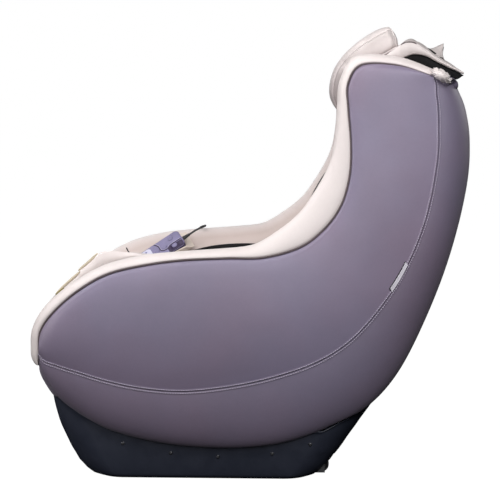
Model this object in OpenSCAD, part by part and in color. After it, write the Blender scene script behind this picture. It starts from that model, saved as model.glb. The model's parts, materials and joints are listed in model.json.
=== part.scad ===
// Compact upright massage chair: an upholstered kidney-shaped body on a moulded base, with a
// massage carriage that climbs an arc-shaped track behind the seat and back pads.
// Millimetres. The chair faces -Y, +Z is up, and the origin is the middle of its footprint box.

/* [Body] */
// Half width of the upholstered body at the hips
body_half_w = 322; // [318:1:326]
// Thickness of the leather and foam covers
cover_t = 12; // [10:1:12]
// Outward crown of each side cover
side_crown = 9; // [4:1:12]
/* [Massage track] */
// Radius of the track's centre line
track_r = 445.5; // [445.5]
// Guide wheel radius
guide_wheel_r = 11.5; // [10:0.5:11.5]
// Teeth on each travel pinion
pinion_teeth = 12; // [12]
// Angle of the carriage below the horizontal at rest
carriage_rest = 42; // [36:1:48]

/* [Handset] */
// Length of the handset
handset_l = 138; // [130:1:140]
// Width of the handset
handset_w = 58; // [52:1:60]
// Thickness of the handset
handset_t = 22; // [18:1:24]

/* [Transport wheels] */
// Radius of the transport wheels
wheel_r = 18; // [16:1:18]

/* [Hidden] */
// Stations along the body, from the nose to the top rear corner. Each row holds the panel's inner
// edge (y, z), its outer edge (y, z), the rim's crest (y, z), the half width less body_half_w, the
// seam's share of the way from inner to outer edge, the depth of the rounded corner past the seam,
// and the drop of the pads below the crest at their edges and along their middle.
STATIONS = [
    [-469, 262, -467, 250, -487, 254, -40, 0.02, 50,   4,  -8],
    [-467, 290, -461, 240, -490, 294, -34, 0.13, 52,   4, -12],
    [-463, 339, -446, 218, -484, 346, -27, 0.50, 54,   4, -12],
    [-432, 384, -415, 182, -452, 398, -14, 0.58, 52,   4,  -6],
    [-378, 432, -365, 142, -392, 450,  -6, 0.63, 50,   6,   2],
    [-309, 472, -305, 113, -318, 492,  -2, 0.67, 48,  22,  22],
    [-227, 493, -225,  92, -232, 514,   0, 0.69, 48,  46,  44],
    [-140, 505, -130,  79, -142, 524,   0, 0.69, 48,  54,  47],
    [ -39, 510,  -20,  76,  -45, 531,   0, 0.66, 48,  54,  46],
    [  41, 512,   85,  89,   20, 541,   0, 0.63, 50,  53,  44],
    [ 121, 535,  185, 122,   78, 575,  -1, 0.62, 56,  52,  44],
    [ 174, 575,  272, 168,  122, 613,  -2, 0.62, 66,  50,  42],
    [ 212, 628,  345, 250,  162, 673,  -3, 0.65, 76,  48,  40],
    [ 231, 695,  410, 383,  188, 729,  -6, 0.70, 84,  46,  38],
    [ 233, 765,  462, 526,  199, 789, -11, 0.72, 88,  42,  36],
    [ 227, 840,  495, 671,  202, 849, -17, 0.73, 88,  38,  34],
    [ 226, 895,  500, 770,  208, 905, -22, 0.73, 86,  32,  30],
    [ 255, 937,  490, 838,  243, 957, -26, 0.71, 82,  20,  18],
    [ 331, 937,  475, 877,  333, 956, -30, 0.61, 76,  14,  10],
    [ 400, 916,  466, 893,  405, 932, -33, 0.30, 68,  10,   6],
    [ 446, 900,  461, 893,  453, 909, -35, 0.06, 62,   8,   4],
];
S_END = len(STATIONS) - 1;
STEP = 0.5;            // station step of the covers and rims
LIP = 10;              // roll-in of the side cover where it meets the rim
REAR_CROWN = 3;        // bulge of the rear cover at its middle
NOSE_CROWN = 18;       // bulge of the lower front cover at its middle, where it starts
NOSE_GROWTH = 4;       // and its growth per station
GAP = 0.01;            // share left open at the seams between covers
RIM_CREST_IN = 32;     // rim crest, in from the body's half width
RIM_WALL_IN = 84;      // foot of the rim's inner wall, in from the half width

TRACK_Y = -87;
TRACK_Z = 815;
PAD_BACK_R = 361;      // rear face of the pads, from the track centre
DUST_COVER_R = 363;
RAIL_X = 150;          // inner face of each guide rail
RAIL_FROM = -100;      // track angles, 0 is level with the track centre
RAIL_TO = 11;
MODULE = 3;
RACK_PITCH_R = track_r + 22.5;
PINION_R = MODULE * pinion_teeth / 2;
PINION_AT = RACK_PITCH_R + PINION_R;
GUIDE_SPREAD = 9.5;      // angle from the carriage's middle to each guide axle
ROLLER_R = 28;
ROLLER_Y = -38;        // roller axle, inward of the track's centre line
ROLLER_Z = 48;
ARM_X = 72;
AXLE_FIT = 0.05;       // radial running clearance of shafts and axles

WHEEL_X = 206;
WHEEL_Y = 169;
WHEEL_Z = 27;

TUB_T = 4;
BASE_GAP = 7;          // shadow gap between the covers' lower edge and the base

HANDSET_AT = [-226, -197, 527];  // upper rear corner of the handset's face
HANDSET_YAW = 8;
HANDSET_PITCH = 33;
HANDSET_ROLL = 38;
POCKET_W = 66;         // width that the handset's pocket takes from the right of the seat

CORD_D = 5;
GLAND = [-40, 40];     // y and z of the cord's gland on the right of the base
GLAND_R = 6;
// Route of the handset's cord, from its gland at the base up over the rim to the handset
CORD_ROUTE = [
    [-272, -40, 40], [-287, -40, 38], [-301, -38, 30], [-312, -30, 17], [-320, -14, 6],
    [-326, 12, 2.8], [-331, 60, 2.8], [-338, 110, 2.8], [-347, 145, 2.8], [-361, 152, 2.8],
    [-371, 135, 2.8], [-373, 90, 2.8], [-371, 30, 2.8], [-369, -30, 2.8], [-368, -85, 3],
    [-368, -122, 9], [-367, -141, 30], [-363, -148, 70], [-355, -150, 130], [-347, -151, 200],
    [-342, -151, 300], [-340, -151, 400], [-335, -150, 470], [-325, -148, 506], [-309, -145, 522],
    [-290, -140, 527.5], [-270, -133, 531.5], [-250, -127, 534.5], [-233, -127, 534.5],
    [-221, -136, 531.5], [-216.6, -147, 526.6], [-215.4, -156.4, 520.8], [-214.4, -163.9, 515.6],
];

// ---- Shape functions ----

function spline(p, t) = 0.5 * (2 * p[1] + (p[2] - p[0]) * t
    + (2 * p[0] - 5 * p[1] + 4 * p[2] - p[3]) * t * t
    + (3 * p[1] - p[0] - 3 * p[2] + p[3]) * t * t * t);

// One station row, or a point of any other list, at the fractional place s
function along(list, s) =
    let (last = len(list) - 1, i = min(last - 1, floor(s)))
    spline([list[max(0, i - 1)], list[i], list[i + 1], list[min(last, i + 2)]], s - i);

function row(s) = along(STATIONS, s);
function inner(r) = [r[0], r[1]];
function outer(r) = [r[2], r[3]];
function crest(r) = [r[4], r[5]];
function half(r) = body_half_w + r[6];
function unit(v) = v / norm(v);
function at_x(x, yz) = [x, yz[0], yz[1]];
function steps(from, to, step) =
    let (n = ceil((to - from) / step)) [for (i = [0 : n]) from + (to - from) * i / n];
function mirrored(line) =
    concat(line, [for (i = [len(line) - 2 : -1 : 0]) [-line[i][0], line[i][1], line[i][2]]]);

// A point of the skin. q runs from 0 at the rim to 1 at the seam, 2 at the outer edge and 3 at the
// middle of the rear. depth is how far under the skin the point lies.
function skin(s, q, depth) =
    let (
        r = row(s),
        span = outer(r) - inner(r),
        w = q < 1 ? r[7] * q : r[7] + (1 - r[7]) * (min(q, 2) - 1),
        past = max(0, min(1, q - 1)),
        yz = inner(r) + span * w - unit(span) * depth * past,
        crown = side_crown * 4 * min(q, 1) * (1 - min(q, 1)) - LIP * exp(-w * norm(span) / 12),
        side_x = half(r) - depth + crown - r[8] * (1 - sqrt(1 - past * past)),
        across = max(0, q - 2),
        rear = unit(span) * REAR_CROWN * (1 - pow(1 - across, 2)),
        nose = [-1, 0] * (NOSE_CROWN + NOSE_GROWTH * s) * (1 - pow(1 - across, 7)) * max(0, min(1, 4 - s))
    )
    at_x(side_x * (1 - across), yz + rear + nose);

// A point under the rims' crest line, in the channel between them
function channel(s, x, drop) =
    let (r = row(s), up = unit(crest(r) - inner(r)))
    at_x(x, crest(r) - up * drop);

// Drop of the pads' upper face at share k of their half width
function pad_drop(s, k) = let (r = row(s)) r[9] * k * k + r[10] * (1 - k * k);

// ---- Solid builders ----

// A closed solid between two grids of points of the same size
module slab(a, b) {
    rows = len(a);
    cols = len(a[0]);
    i = floor((rows - 1) / 2);
    j = floor((cols - 1) / 2);
    normal = cross(a[i][j + 1] - a[i][j], a[i + 1][j] - a[i][j]);
    turned = normal * (a[i][j] - b[i][j]) > 0;
    base = rows * cols;
    function at(r, c, side) = side * base + r * cols + c;
    function quad(p, q, r, s) = turned ? [[p, q, r], [p, r, s]] : [[p, r, q], [p, s, r]];
    faces = concat(
        [for (r = [0 : rows - 2]) for (c = [0 : cols - 2])
            each quad(at(r, c, 0), at(r + 1, c, 0), at(r + 1, c + 1, 0), at(r, c + 1, 0))],
        [for (r = [0 : rows - 2]) for (c = [0 : cols - 2])
            each quad(at(r, c, 1), at(r, c + 1, 1), at(r + 1, c + 1, 1), at(r + 1, c, 1))],
        [for (r = [0 : rows - 2]) each quad(at(r, 0, 0), at(r, 0, 1), at(r + 1, 0, 1), at(r + 1, 0, 0))],
        [for (r = [0 : rows - 2])
            each quad(at(r, cols - 1, 0), at(r + 1, cols - 1, 0), at(r + 1, cols - 1, 1), at(r, cols - 1, 1))],
        [for (c = [0 : cols - 2]) each quad(at(0, c, 0), at(0, c + 1, 0), at(0, c + 1, 1), at(0, c, 1))],
        [for (c = [0 : cols - 2])
            each quad(at(rows - 1, c, 0), at(rows - 1, c, 1), at(rows - 1, c + 1, 1), at(rows - 1, c + 1, 0))]
    );
    polyhedron(points = concat([for (r = a) each r], [for (r = b) each r]), faces = faces, convexity = 8);
}

// A closed solid through rings of points of the same length
module loft(rings) {
    n = len(rings[0]);
    last = len(rings) - 1;
    mid = floor(last / 2);
    centre = [for (k = [0 : 2]) [for (p = rings[mid]) p[k]] * [for (p = rings[mid]) 1] / n];
    // The signed area of the middle ring about the loft's direction says which way the rings turn
    ahead = rings[mid + 1][0] - rings[mid][0];
    area = [for (i = [0 : n - 1]) cross(rings[mid][i] - centre, rings[mid][(i + 1) % n] - centre)];
    total = [for (k = [0 : 2]) [for (v = area) v[k]] * [for (v = area) 1]];
    turned = total * ahead < 0;
    function tri(a, b, c) = turned ? [a, b, c] : [a, c, b];
    faces = concat(
        [for (k = [0 : last - 1]) for (i = [0 : n - 1])
            let (j = (i + 1) % n, p = k * n, q = (k + 1) * n)
            each [tri(p + i, p + j, q + j), tri(p + i, q + j, q + i)]],
        [[for (i = [0 : n - 1]) turned ? n - 1 - i : i]],
        [[for (i = [0 : n - 1]) last * n + (turned ? i : n - 1 - i)]]
    );
    polyhedron(points = [for (r = rings) each r], faces = faces, convexity = 8);
}

module skin_slab(s_list, q_list, shallow, deep, both = false) {
    function line(s, depth) = [for (q = q_list) skin(s, q, depth)];
    function whole(s, depth) = both ? mirrored(line(s, depth)) : line(s, depth);
    slab([for (s = s_list) whole(s, shallow)], [for (s = s_list) whole(s, deep)]);
}

// Children are mirrored to the right-hand side (-X) when side is -1
module on_side(side) {
    if (side > 0) children();
    else mirror([1, 0, 0]) children();
}

// Places children with their origin on the track's centre line at an angle, +Y away from the track
// centre and +Z up along the track
module on_track(angle) {
    translate([0, TRACK_Y, TRACK_Z]) rotate([angle, 0, 0]) translate([0, track_r, 0]) children();
}

// Revolves a profile of (radius, x) about the track centre between two angles
module track_arc(from, to) {
    translate([0, TRACK_Y, TRACK_Z]) rotate([0, 90, 0]) rotate([0, 0, from + 90])
        rotate_extrude(angle = to - from, $fn = 180) children();
}

module cylinder_x(r, from, to) {
    translate([from, 0, 0]) rotate([0, 90, 0]) cylinder(r = r, h = to - from, $fn = 48);
}

module box(low, high) {
    translate(low) cube(high - low);
}

// ---- Covers, rims and pads ----

module side_cover(side) {
    color("slategray") on_side(side)
        skin_slab(steps(0, S_END - 0.4, STEP), [0, 0.06, 0.16, 0.34, 0.54, 0.74, 0.9, 1 - GAP / 2],
                  0, cover_t);
}

// One cover for the rear, the lower sides and the lower front, open where the base goes in
module rear_cover() {
    shares = [1 + GAP, 1.2, 1.42, 1.62, 1.8, 1.93, 2, 2.12, 2.35, 2.65, 3];
    color("dimgray") difference() {
        skin_slab(steps(0, S_END, STEP), shares, 0, cover_t, true);
        loft([for (z = [-10, 230]) tub_ring([z, -442.5, 268, 268, 80], 0)]);
    }
}

// The padded rim: it rises from the panel's edge to the crest and falls into the channel
function rim_ring(s) =
    let (
        r = row(s), rise = crest(r) - inner(r), up = unit(rise), h = norm(rise), x = half(r),
        wall = RIM_WALL_IN - 14 * max(0, 1 - s / 3),
        profile = [
            [9, 2], [7, 0.3 * h], [12, 0.62 * h], [21, 0.88 * h], [RIM_CREST_IN, h], [46, h - 3],
            [60, h - 13], [wall - 10, h - 28], [wall, h - 46], [wall - 3, h - 56], [54, h - 54],
            [40, min(h - 54, 0)], [30, min(-6, h - 54)], [28, 2]
        ]
    )
    [for (p = profile) at_x(x - p[0], inner(r) + up * p[1])];

module rim(side) {
    color("linen") on_side(side) loft([for (s = steps(0, S_END - 0.2, STEP)) rim_ring(s)]);
}

module side_shell(side) {
    color("burlywood") on_side(side)
        skin_slab(steps(2.2, S_END - 2.2, 1), [0.12, 0.5, 1, 1.4, 1.75], cover_t + 2, cover_t + 12);
}

// Half width of the seat pad and its flap; the right one leaves room for the handset's pocket
function pad_left(s) = half(row(s)) - 98;
function pad_right(s) = -pad_left(s) + POCKET_W * lookup(s, [[4.6, 0], [4.85, 1], [6.9, 1], [7.3, 0]]);

function pad_line(s, left, right, lift) =
    [for (k = [-1 : 0.25 : 1])
        channel(s, (left + right) / 2 + (left - right) / 2 * k, pad_drop(s, abs(k)) - lift)];

// The point straight behind p on a surface at radius r about the track, level ahead of its lowest point
function behind(p, r) =
    let (out = [p[1] - TRACK_Y, p[2] - TRACK_Z])
    at_x(p[0], out[0] < 0 ? [p[1], TRACK_Z - r] : [TRACK_Y, TRACK_Z] + unit(out) * r);

module seat_pad() {
    lines = [for (s = steps(5.3, 9.2, STEP)) pad_line(s, pad_left(s), pad_right(s), 0)];
    color("antiquewhite") slab(lines, [for (line = lines) [for (p = line) behind(p, PAD_BACK_R)]]);
}

module back_pad() {
    lines = [for (s = steps(9.35, 15.7, STEP)) pad_line(s, pad_left(s), -pad_left(s), 0)];
    color("antiquewhite") slab(lines, [for (line = lines) [for (p = line) behind(p, PAD_BACK_R)]]);
}

module dust_cover() {
    lines = [for (s = steps(6.3, 15.6, STEP)) [for (x = [-1, 1]) channel(s, x * (half(row(s)) - 90), 30)]];
    color("black") slab([for (line = lines) [for (p = line) behind(p, DUST_COVER_R)]],
                        [for (line = lines) [for (p = line) behind(p, DUST_COVER_R + 2)]]);
}

// The loose front end of the seat's leather, lying over the apron: station and drop below the crest
FLAP_DROP = [[3.35, -13], [3.7, -15], [4.05, -17], [4.5, -8], [5.25, 10]];
module seat_flap() {
    function line(s, under) =
        let (left = pad_left(s), right = pad_right(s))
        [for (x = [right : (left - right) / 4 : left + 1]) channel(s, x, lookup(s, FLAP_DROP) + under)];
    s_list = steps(3.35, 5.2, 0.3);
    color("linen") slab([for (s = s_list) line(s, 0)], [for (s = s_list) line(s, 5)]);
}

module front_apron() {
    function edge(s) = half(row(s)) - RIM_WALL_IN + 14 * max(0, 1 - s / 3) - 1;
    s_list = steps(0.15, 4.65, 0.35);
    color("linen") slab([for (s = s_list) pad_line(s, edge(s), -edge(s), 0)],
                        [for (s = s_list) pad_line(s, edge(s), -edge(s), -22)]);
}

module crest_panel() {
    function edge(s) = half(row(s)) - RIM_WALL_IN - 1;
    s_list = steps(16.5, S_END - 0.2, 0.4);
    color("linen") slab([for (s = s_list) pad_line(s, edge(s), -edge(s), 0)],
                        [for (s = s_list) pad_line(s, edge(s), -edge(s), -14)]);
}

// Pillow outline in side view, from its lower front corner up and over to its lower rear corner
PILLOW_FRONT = [
    [203, 822], [190, 850], [187, 880], [194, 918], [214, 953], [244, 984], [284, 1012], [330, 1031],
];
PILLOW_REAR = [
    [213, 826], [217, 850], [222, 878], [230, 912], [247, 938], [274, 952], [314, 955], [356, 968],
];
PILLOW_HALF = 196;

module head_pillow() {
    function line(list, s, k, pull) =
        let (
            front = along(PILLOW_FRONT, s), rear = along(PILLOW_REAR, s),
            mid = front * 0.5 + rear * 0.5, fat = sqrt(1 - pow(abs(k), 4) * 0.82)
        )
        at_x(k * (PILLOW_HALF - pull * pow(sin(180 * s / 7), 2)), mid + (along(list, s) - mid) * fat);
    shares = [-1, -0.88, -0.6, -0.3, 0, 0.3, 0.6, 0.88, 1];
    color("antiquewhite")
        slab([for (s = steps(0, 7, 0.5)) [for (k = shares) line(PILLOW_FRONT, s, k, -4)]],
             [for (s = steps(0, 7, 0.5)) [for (k = shares) line(PILLOW_REAR, s, k, -4)]]);
}

// The loose leather flap over the crest, fastened under the pillow and open at the rear
FLAP_LINE = [[364, 988], [384, 992], [402, 982], [424, 962], [452, 946], [480, 927]];
module crest_flap() {
    s_list = steps(0, 5, 0.5);
    color("linen")
        slab([for (s = s_list) [for (k = [-1, 0, 1]) at_x(232 * k, along(FLAP_LINE, s))]],
             [for (s = s_list) [for (k = [-1, 0, 1]) at_x(232 * k, along(FLAP_LINE, s) - [1.6, 4.6])]]);
}

module zip_fastener() {
    color("black") {
        box([-190, 457, 918], [190, 466, 921]);
        box([150, 455, 921], [162, 468, 924.5]);
    }
}

module care_label() {
    color("lavender") hull()
        for (end = [[326.5, 366, 499], [326.5, 327, 447]])
            translate(end) rotate([37, 0, 0]) cube([2.4, 10, 4]);
}

// ---- Base ----

TUB_LAYERS = [  // z, front y, rear y, half width, plan corner radius
    [0, -328, 138, 243, 60], [5, -345, 153, 249, 66], [14, -360, 167, 252, 70],
    [34, -381, 185, 256, 74], [67, -403, 209, 260, 76], [122, -427, 246, 264, 78], [190, -441, 289, 267, 80],
];
TUB_TOP = 190;
TUB_HALF = [for (layer = TUB_LAYERS) [layer[0], layer[3]]];

function tub_ring(layer, inset) =
    let (
        z = layer[0], front = layer[1] + inset, rear = layer[2] - inset,
        hw = layer[3] - inset, r = layer[4] - inset
    )
    [for (c = [[1, 1, 0], [-1, 1, 90], [-1, -1, 180], [1, -1, 270]]) for (a = [0 : 18 : 90])
        [c[0] * (hw - r) + r * cos(c[2] + a), (c[1] > 0 ? rear - r : front + r) + r * sin(c[2] + a), z]];

module tub_body(inset, lift) {
    loft([for (layer = TUB_LAYERS) [for (p = tub_ring(layer, inset)) p + [0, 0, lift]]]);
}

// Everything that the upholstered body occupies above the base, as a prism across the chair
module above_base() {
    edge = [for (s = steps(2.4, 11.6, 0.4)) outer(row(s)) + unit(outer(row(s)) - inner(row(s))) * BASE_GAP];
    translate([-400, 0, 0]) rotate([90, 0, 90])
        linear_extrude(800) polygon(concat([[-600, 203]], edge, [[600, 203], [600, 600], [-600, 600]]));
}

SCREW_Y = [-280, -171, -64, 59, 145];
SCREW_DROP = 15;       // below the covers' lower edge
SCREW_R = 2;
function base_edge_z(y) =
    let (beyond = [for (s = steps(2.4, 11.6, 0.1)) if (outer(row(s))[0] >= y) outer(row(s))[1]]) beyond[0];

// Children are placed on the base's side wall at each screw, +X outward
module at_screws() {
    for (side = [1, -1]) on_side(side) for (y = SCREW_Y)
        let (z = base_edge_z(y) - SCREW_DROP) translate([lookup(z, TUB_HALF), y, z]) children();
}

module base_tub() {
    color("black") difference() {
        tub_body(0, 0);
        tub_body(TUB_T, 5);
        translate([0, 0, TUB_TOP]) cube([700, 1000, 12], center = true);
        above_base();
        for (side = [1, -1]) on_side(side) box([WHEEL_X - 17, 142, -1], [WHEEL_X + 17, 215, 52]);
        at_screws() cylinder_x(SCREW_R + AXLE_FIT, -10, 10);
        box([INLET_X - 32.2, 150, 43.8], [INLET_X + 32.2, 262, 94.2]);
        translate([0, GLAND[0], GLAND[1]]) cylinder_x(GLAND_R + AXLE_FIT, -300, -200);
    }
}

module base_screws() {
    color("dimgray") at_screws() {
        cylinder_x(SCREW_R, -12, 0.8);
        cylinder_x(2 * SCREW_R, 0.8, 3.2);
    }
}

module wheel_brackets() {
    color("silver") for (side = [1, -1]) on_side(side) {
        for (x = [-15.5, 12.5]) difference() {
            box([WHEEL_X + x, 146, 9], [WHEEL_X + x + 3, WHEEL_Y + 9, 60]);
            translate([WHEEL_X + x - 1, WHEEL_Y, WHEEL_Z]) cylinder_x(4 + AXLE_FIT, 0, 5);
        }
        box([WHEEL_X - 15.5, 146, 60], [WHEEL_X + 15.5, WHEEL_Y + 9, 63]);
    }
}

module transport_wheel(side) {
    color("black") on_side(side) translate([WHEEL_X, WHEEL_Y, WHEEL_Z]) {
        cylinder_x(wheel_r - 1.5, -11, 11);
        cylinder_x(wheel_r, -9, 9);
        cylinder_x(4, -16.5, 16.5);
    }
}

TUBE = 25;             // steel tube of the base frame
POST_X = 150;
POST_Y = -170;

module base_frame() {
    color("silver") {
        for (side = [1, -1]) on_side(side) {
            box([205, -300, 12], [205 + TUBE, 128, 12 + TUBE]);
            box([POST_X, POST_Y, 12 + TUBE], [POST_X + TUBE, POST_Y + TUBE, 300]);
        }
        for (y = [-300, POST_Y, 103]) box([-205, y, 12], [205, y + TUBE, 12 + TUBE]);
    }
}

// Brackets that carry the guide rails on the frame's posts and on the side shells
module rail_supports() {
    color("silver") for (side = [1, -1]) on_side(side) {
        box([POST_X, POST_Y, 300.3], [POST_X + TUBE, POST_Y + TUBE, 303]);
        box([POST_X + 22.4, POST_Y, 303], [POST_X + TUBE, POST_Y + TUBE, 376]);
        for (arm = [[-62, 296], [-30, 290], [4, 266]])
            on_track(arm[0]) box([POST_X + 22.4, -12, -8], [arm[1], 12, -4]);
    }
}

// ---- Track ----

module guide_rail(side) {
    color("silver") on_side(side) difference() {
        track_arc(RAIL_FROM, RAIL_TO) translate([track_r - 15, RAIL_X]) square([30, 22]);
        track_arc(RAIL_FROM - 1, RAIL_TO + 1) translate([track_r - 12, RAIL_X - 1]) square([24, 20]);
    }
}

function tooth(at, half_tip, half_root, tip, root, centre) =
    [for (p = [[-half_root, root], [-half_tip, tip], [half_tip, tip], [half_root, root]])
        let (a = at + p[0]) [centre[0] + p[1] * cos(a), centre[1] + p[1] * sin(a)]];

RACK_TEETH = 2 * RACK_PITCH_R / MODULE;
RACK_STEP = 360 / RACK_TEETH;
RACK_BACK_R = track_r + 15.3;

module rack(side) {
    first = ceil((RAIL_FROM + 14 + carriage_rest) / RACK_STEP);
    last = floor((RAIL_TO - 4 + carriage_rest) / RACK_STEP);
    ends = [(first - 0.5) * RACK_STEP - carriage_rest, (last + 0.5) * RACK_STEP - carriage_rest];
    teeth = [for (i = [first : last])
        each tooth(i * RACK_STEP - carriage_rest + RACK_STEP / 2, 0.1 * RACK_STEP, 0.25 * RACK_STEP,
                   RACK_PITCH_R + 2.2, RACK_PITCH_R - 3.6, [TRACK_Y, TRACK_Z])];
    back = [for (i = [0 : 40]) let (a = ends[1] + (ends[0] - ends[1]) * i / 40)
        [TRACK_Y + RACK_BACK_R * cos(a), TRACK_Z + RACK_BACK_R * sin(a)]];
    color("white") on_side(side) translate([RAIL_X + 1, 0, 0]) rotate([90, 0, 90])
        linear_extrude(14) polygon(concat(teeth, back));
}

// ---- Carriage, in the track's own frame at the rest angle ----

module in_carriage() {
    on_track(-carriage_rest) children();
}

module guide_axle(angle) {
    on_track(-carriage_rest + angle) {
        cylinder_x(5, -151, 151);
        for (side = [1, -1]) on_side(side) cylinder_x(guide_wheel_r, 153, 166);
        for (side = [1, -1]) on_side(side) cylinder_x(5, 150, 153);
    }
}

module carriage_frame() {
    color("gainsboro") difference() {
        in_carriage() {
            for (side = [1, -1]) on_side(side) box([126, -20, -84], [130, 62, 84]);
            for (z = [-76, 72]) box([-126, 30, z], [126, 58, z + 4]);
            box([-126, 58, -76], [126, 62, 76]);
        }
        for (a = [-GUIDE_SPREAD, GUIDE_SPREAD])
            on_track(-carriage_rest + a) cylinder_x(5 + AXLE_FIT, -140, 140);
        in_carriage() {
            cylinder_x(8 + AXLE_FIT, -140, 140);
            translate([0, PINION_AT - track_r, 0]) cylinder_x(6 + AXLE_FIT, -140, 140);
            box([34, 50, -26], [88, 70, 70]);
            box([-26, 50, 6], [26, 70, 70]);
        }
    }
}

module travel_pinion_shaft() {
    half_tip = 0.1 * 360 / pinion_teeth;
    half_root = 0.25 * 360 / pinion_teeth;
    outline = [for (i = [0 : pinion_teeth - 1])
        each tooth(i * 360 / pinion_teeth + 180, half_tip, half_root,
                   PINION_R + 2.2, PINION_R - 3.6, [0, 0])];
    color("darkgray") in_carriage() translate([0, PINION_AT - track_r, 0]) union() {
        cylinder_x(6, -165, 165);
        for (side = [1, -1]) on_side(side)
            translate([RAIL_X + 2, 0, 0]) rotate([90, 0, 90]) linear_extrude(12) polygon(outline);
    }
}

module travel_motor() {
    color("dimgray") in_carriage() difference() {
        union() {
            box([36, 22, -24], [86, 60, 24]);
            translate([61, 62, -8]) cylinder(r = 19, h = 74, $fn = 48);
        }
        translate([0, PINION_AT - track_r, 0]) cylinder_x(6 + AXLE_FIT, 30, 90);
    }
}

module knead_gearbox() {
    color("silver") in_carriage() difference() {
        union() {
            box([-24, -16, -26], [24, 24, 26]);
            box([-20, 24, 10], [20, 60, 26]);
        }
        cylinder_x(8 + AXLE_FIT, -30, 30);
    }
}

module knead_motor() {
    color("dimgray") in_carriage() translate([0, 44, 26.1]) cylinder(r = 18, h = 40, $fn = 48);
}

module knead_shaft() {
    color("darkgray") in_carriage() {
        cylinder_x(8, -133, 133);
        for (side = [1, -1]) on_side(side) {
            cylinder_x(15, ARM_X - 14, ARM_X - 8);
            cylinder_x(15, ARM_X + 8, ARM_X + 14);
        }
    }
}

module arm(side) {
    color("white") in_carriage() on_side(side) difference() {
        union() {
            cylinder_x(17, ARM_X - 7, ARM_X + 7);
            for (end = [1, -1]) hull() {
                cylinder_x(13, ARM_X - 6, ARM_X + 6);
                translate([0, ROLLER_Y, end * ROLLER_Z]) cylinder_x(9, ARM_X - 6, ARM_X + 6);
            }
        }
        cylinder_x(8 + AXLE_FIT, ARM_X - 20, ARM_X + 20);
        for (end = [1, -1])
            translate([0, ROLLER_Y, end * ROLLER_Z]) cylinder_x(5 + AXLE_FIT, ARM_X - 20, ARM_X + 20);
    }
}

module roller(side, end) {
    color("tan") in_carriage() on_side(side) translate([0, ROLLER_Y, end * ROLLER_Z]) {
        cylinder_x(5, ARM_X - 7.5, ARM_X + 10);
        translate([ARM_X + 22, 0, 0]) rotate([0, 90, 0]) rotate_extrude($fn = 72)
            polygon(concat([[0, -14], [ROLLER_R - 12, -14]],
                [for (a = [-60 : 15 : 60]) [ROLLER_R - 12 + 12 * cos(a), 14 * sin(a)]],
                [[ROLLER_R - 12, 14], [0, 14]]));
    }
}

// ---- Electrics in the base ----

module control_box() {
    color("gray") box([-130, -110, 38], [60, 40, 84]);
}

module power_supply() {
    color("dimgray") box([80, -100, 12], [170, 60, 78]);
}

INLET_X = -120;
INLET_FACE_Y = 198;
ROCKER_AT = [INLET_X + 17, 192.5, 70];
ROCKER_TILT = 6;       // off position; pressing the other end tips it over by twice as much
module inlet_housing() {
    color("black") difference() {
        intersection() {
            box([INLET_X - 32, 150, 44], [INLET_X + 32, 250, 94]);
            tub_body(0, 0);
        }
        box([INLET_X - 29, INLET_FACE_Y, 47], [INLET_X + 29, 260, 91]);
        box([INLET_X - 25, 180, 58], [INLET_X + 3, 260, 82]);
        box([INLET_X + 10, 187, 60], [INLET_X + 24, 260, 80]);
        translate(ROCKER_AT) cylinder_x(2 + AXLE_FIT, -9, 9);
    }
    color("gold") for (x = [-18, -11, -4]) box([INLET_X + x - 1, 180, 66], [INLET_X + x + 1, 193, 74]);
}

module rocker_switch() {
    color("red") translate(ROCKER_AT) rotate([ROCKER_TILT, 0, 0]) {
        box([-6.6, -2, -8.6], [6.6, 6, 8.6]);
        cylinder_x(2, -8.5, 8.5);
    }
}

// ---- Handset ----

// Children are placed with the face's upper rear corner at the origin, the length along -Y, the
// width along +X and the face normal +Z
module in_handset() {
    translate(HANDSET_AT) rotate([0, 0, HANDSET_YAW]) rotate([HANDSET_PITCH, 0, 0])
        rotate([0, HANDSET_ROLL, 0]) children();
}

module rounded_bar(length, width, low, high, r) {
    translate([0, 0, low]) linear_extrude(high - low)
        translate([r, -length + r]) offset(r = r, $fn = 32) square([width - 2 * r, length - 2 * r]);
}

BUTTONS = [  // name, along the length, across the width, radius
    ["power", 26, 15, 6.5], ["mode", 26, 43, 6.5],
    ["up", 50, 29, 7], ["down", 72, 29, 7], ["timer", 98, 29, 6.5],
];
function button(name) = [for (b = BUTTONS) if (b[0] == name) b][0];

module handset_shell() {
    color("lightsteelblue") in_handset() difference() {
        rounded_bar(handset_l, handset_w, -handset_t, -3, 12);
        translate([3, -3, 0]) rounded_bar(handset_l - 6, handset_w - 6, -handset_t + 3, 0, 9);
    }
}

module handset_face() {
    color("lightsteelblue") in_handset() difference() {
        rounded_bar(handset_l, handset_w, -2.9, 0, 12);
        for (b = BUTTONS) translate([b[2], -b[1], -5]) cylinder(r = b[3] + 0.3, h = 8, $fn = 48);
    }
}

module push_button(name) {
    b = button(name);
    color("white") in_handset() translate([b[2], -b[1], 0]) {
        translate([0, 0, -2.4]) cylinder(r = b[3], h = 3.8, $fn = 48);
    }
}

module handset_strain_relief() {
    color("black") in_handset() translate([handset_w / 2, 0, -handset_t / 2]) rotate([-90, 0, 0])
        cylinder(r1 = 5.4, r2 = 3.2, h = 20, $fn = 48);
}

module handset_pocket() {
    color("linen") in_handset()
        difference() {
            translate([-5, -72, 0]) rounded_bar(62, handset_w + 10, -handset_t - 4, 4, 14);
            translate([-1.5, -60, 0]) rounded_bar(80, handset_w + 3, -handset_t - 1, 2, 12.5);
            box([-20, -84, -40], [90, -40, 20]);
            box([-4, -82, 0.9], [handset_w + 4, -40, 10]);
        }
}

// ---- Cord ----

function cord_ring(at, ahead, r) =
    let (
        t = unit(ahead), side = unit(cross(t, abs(t[2]) > 0.9 ? [0, 1, 0] : [0, 0, 1])), up = cross(side, t)
    )
    [for (a = [0 : 45 : 315]) at + r * (cos(a) * side + sin(a) * up)];

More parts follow.
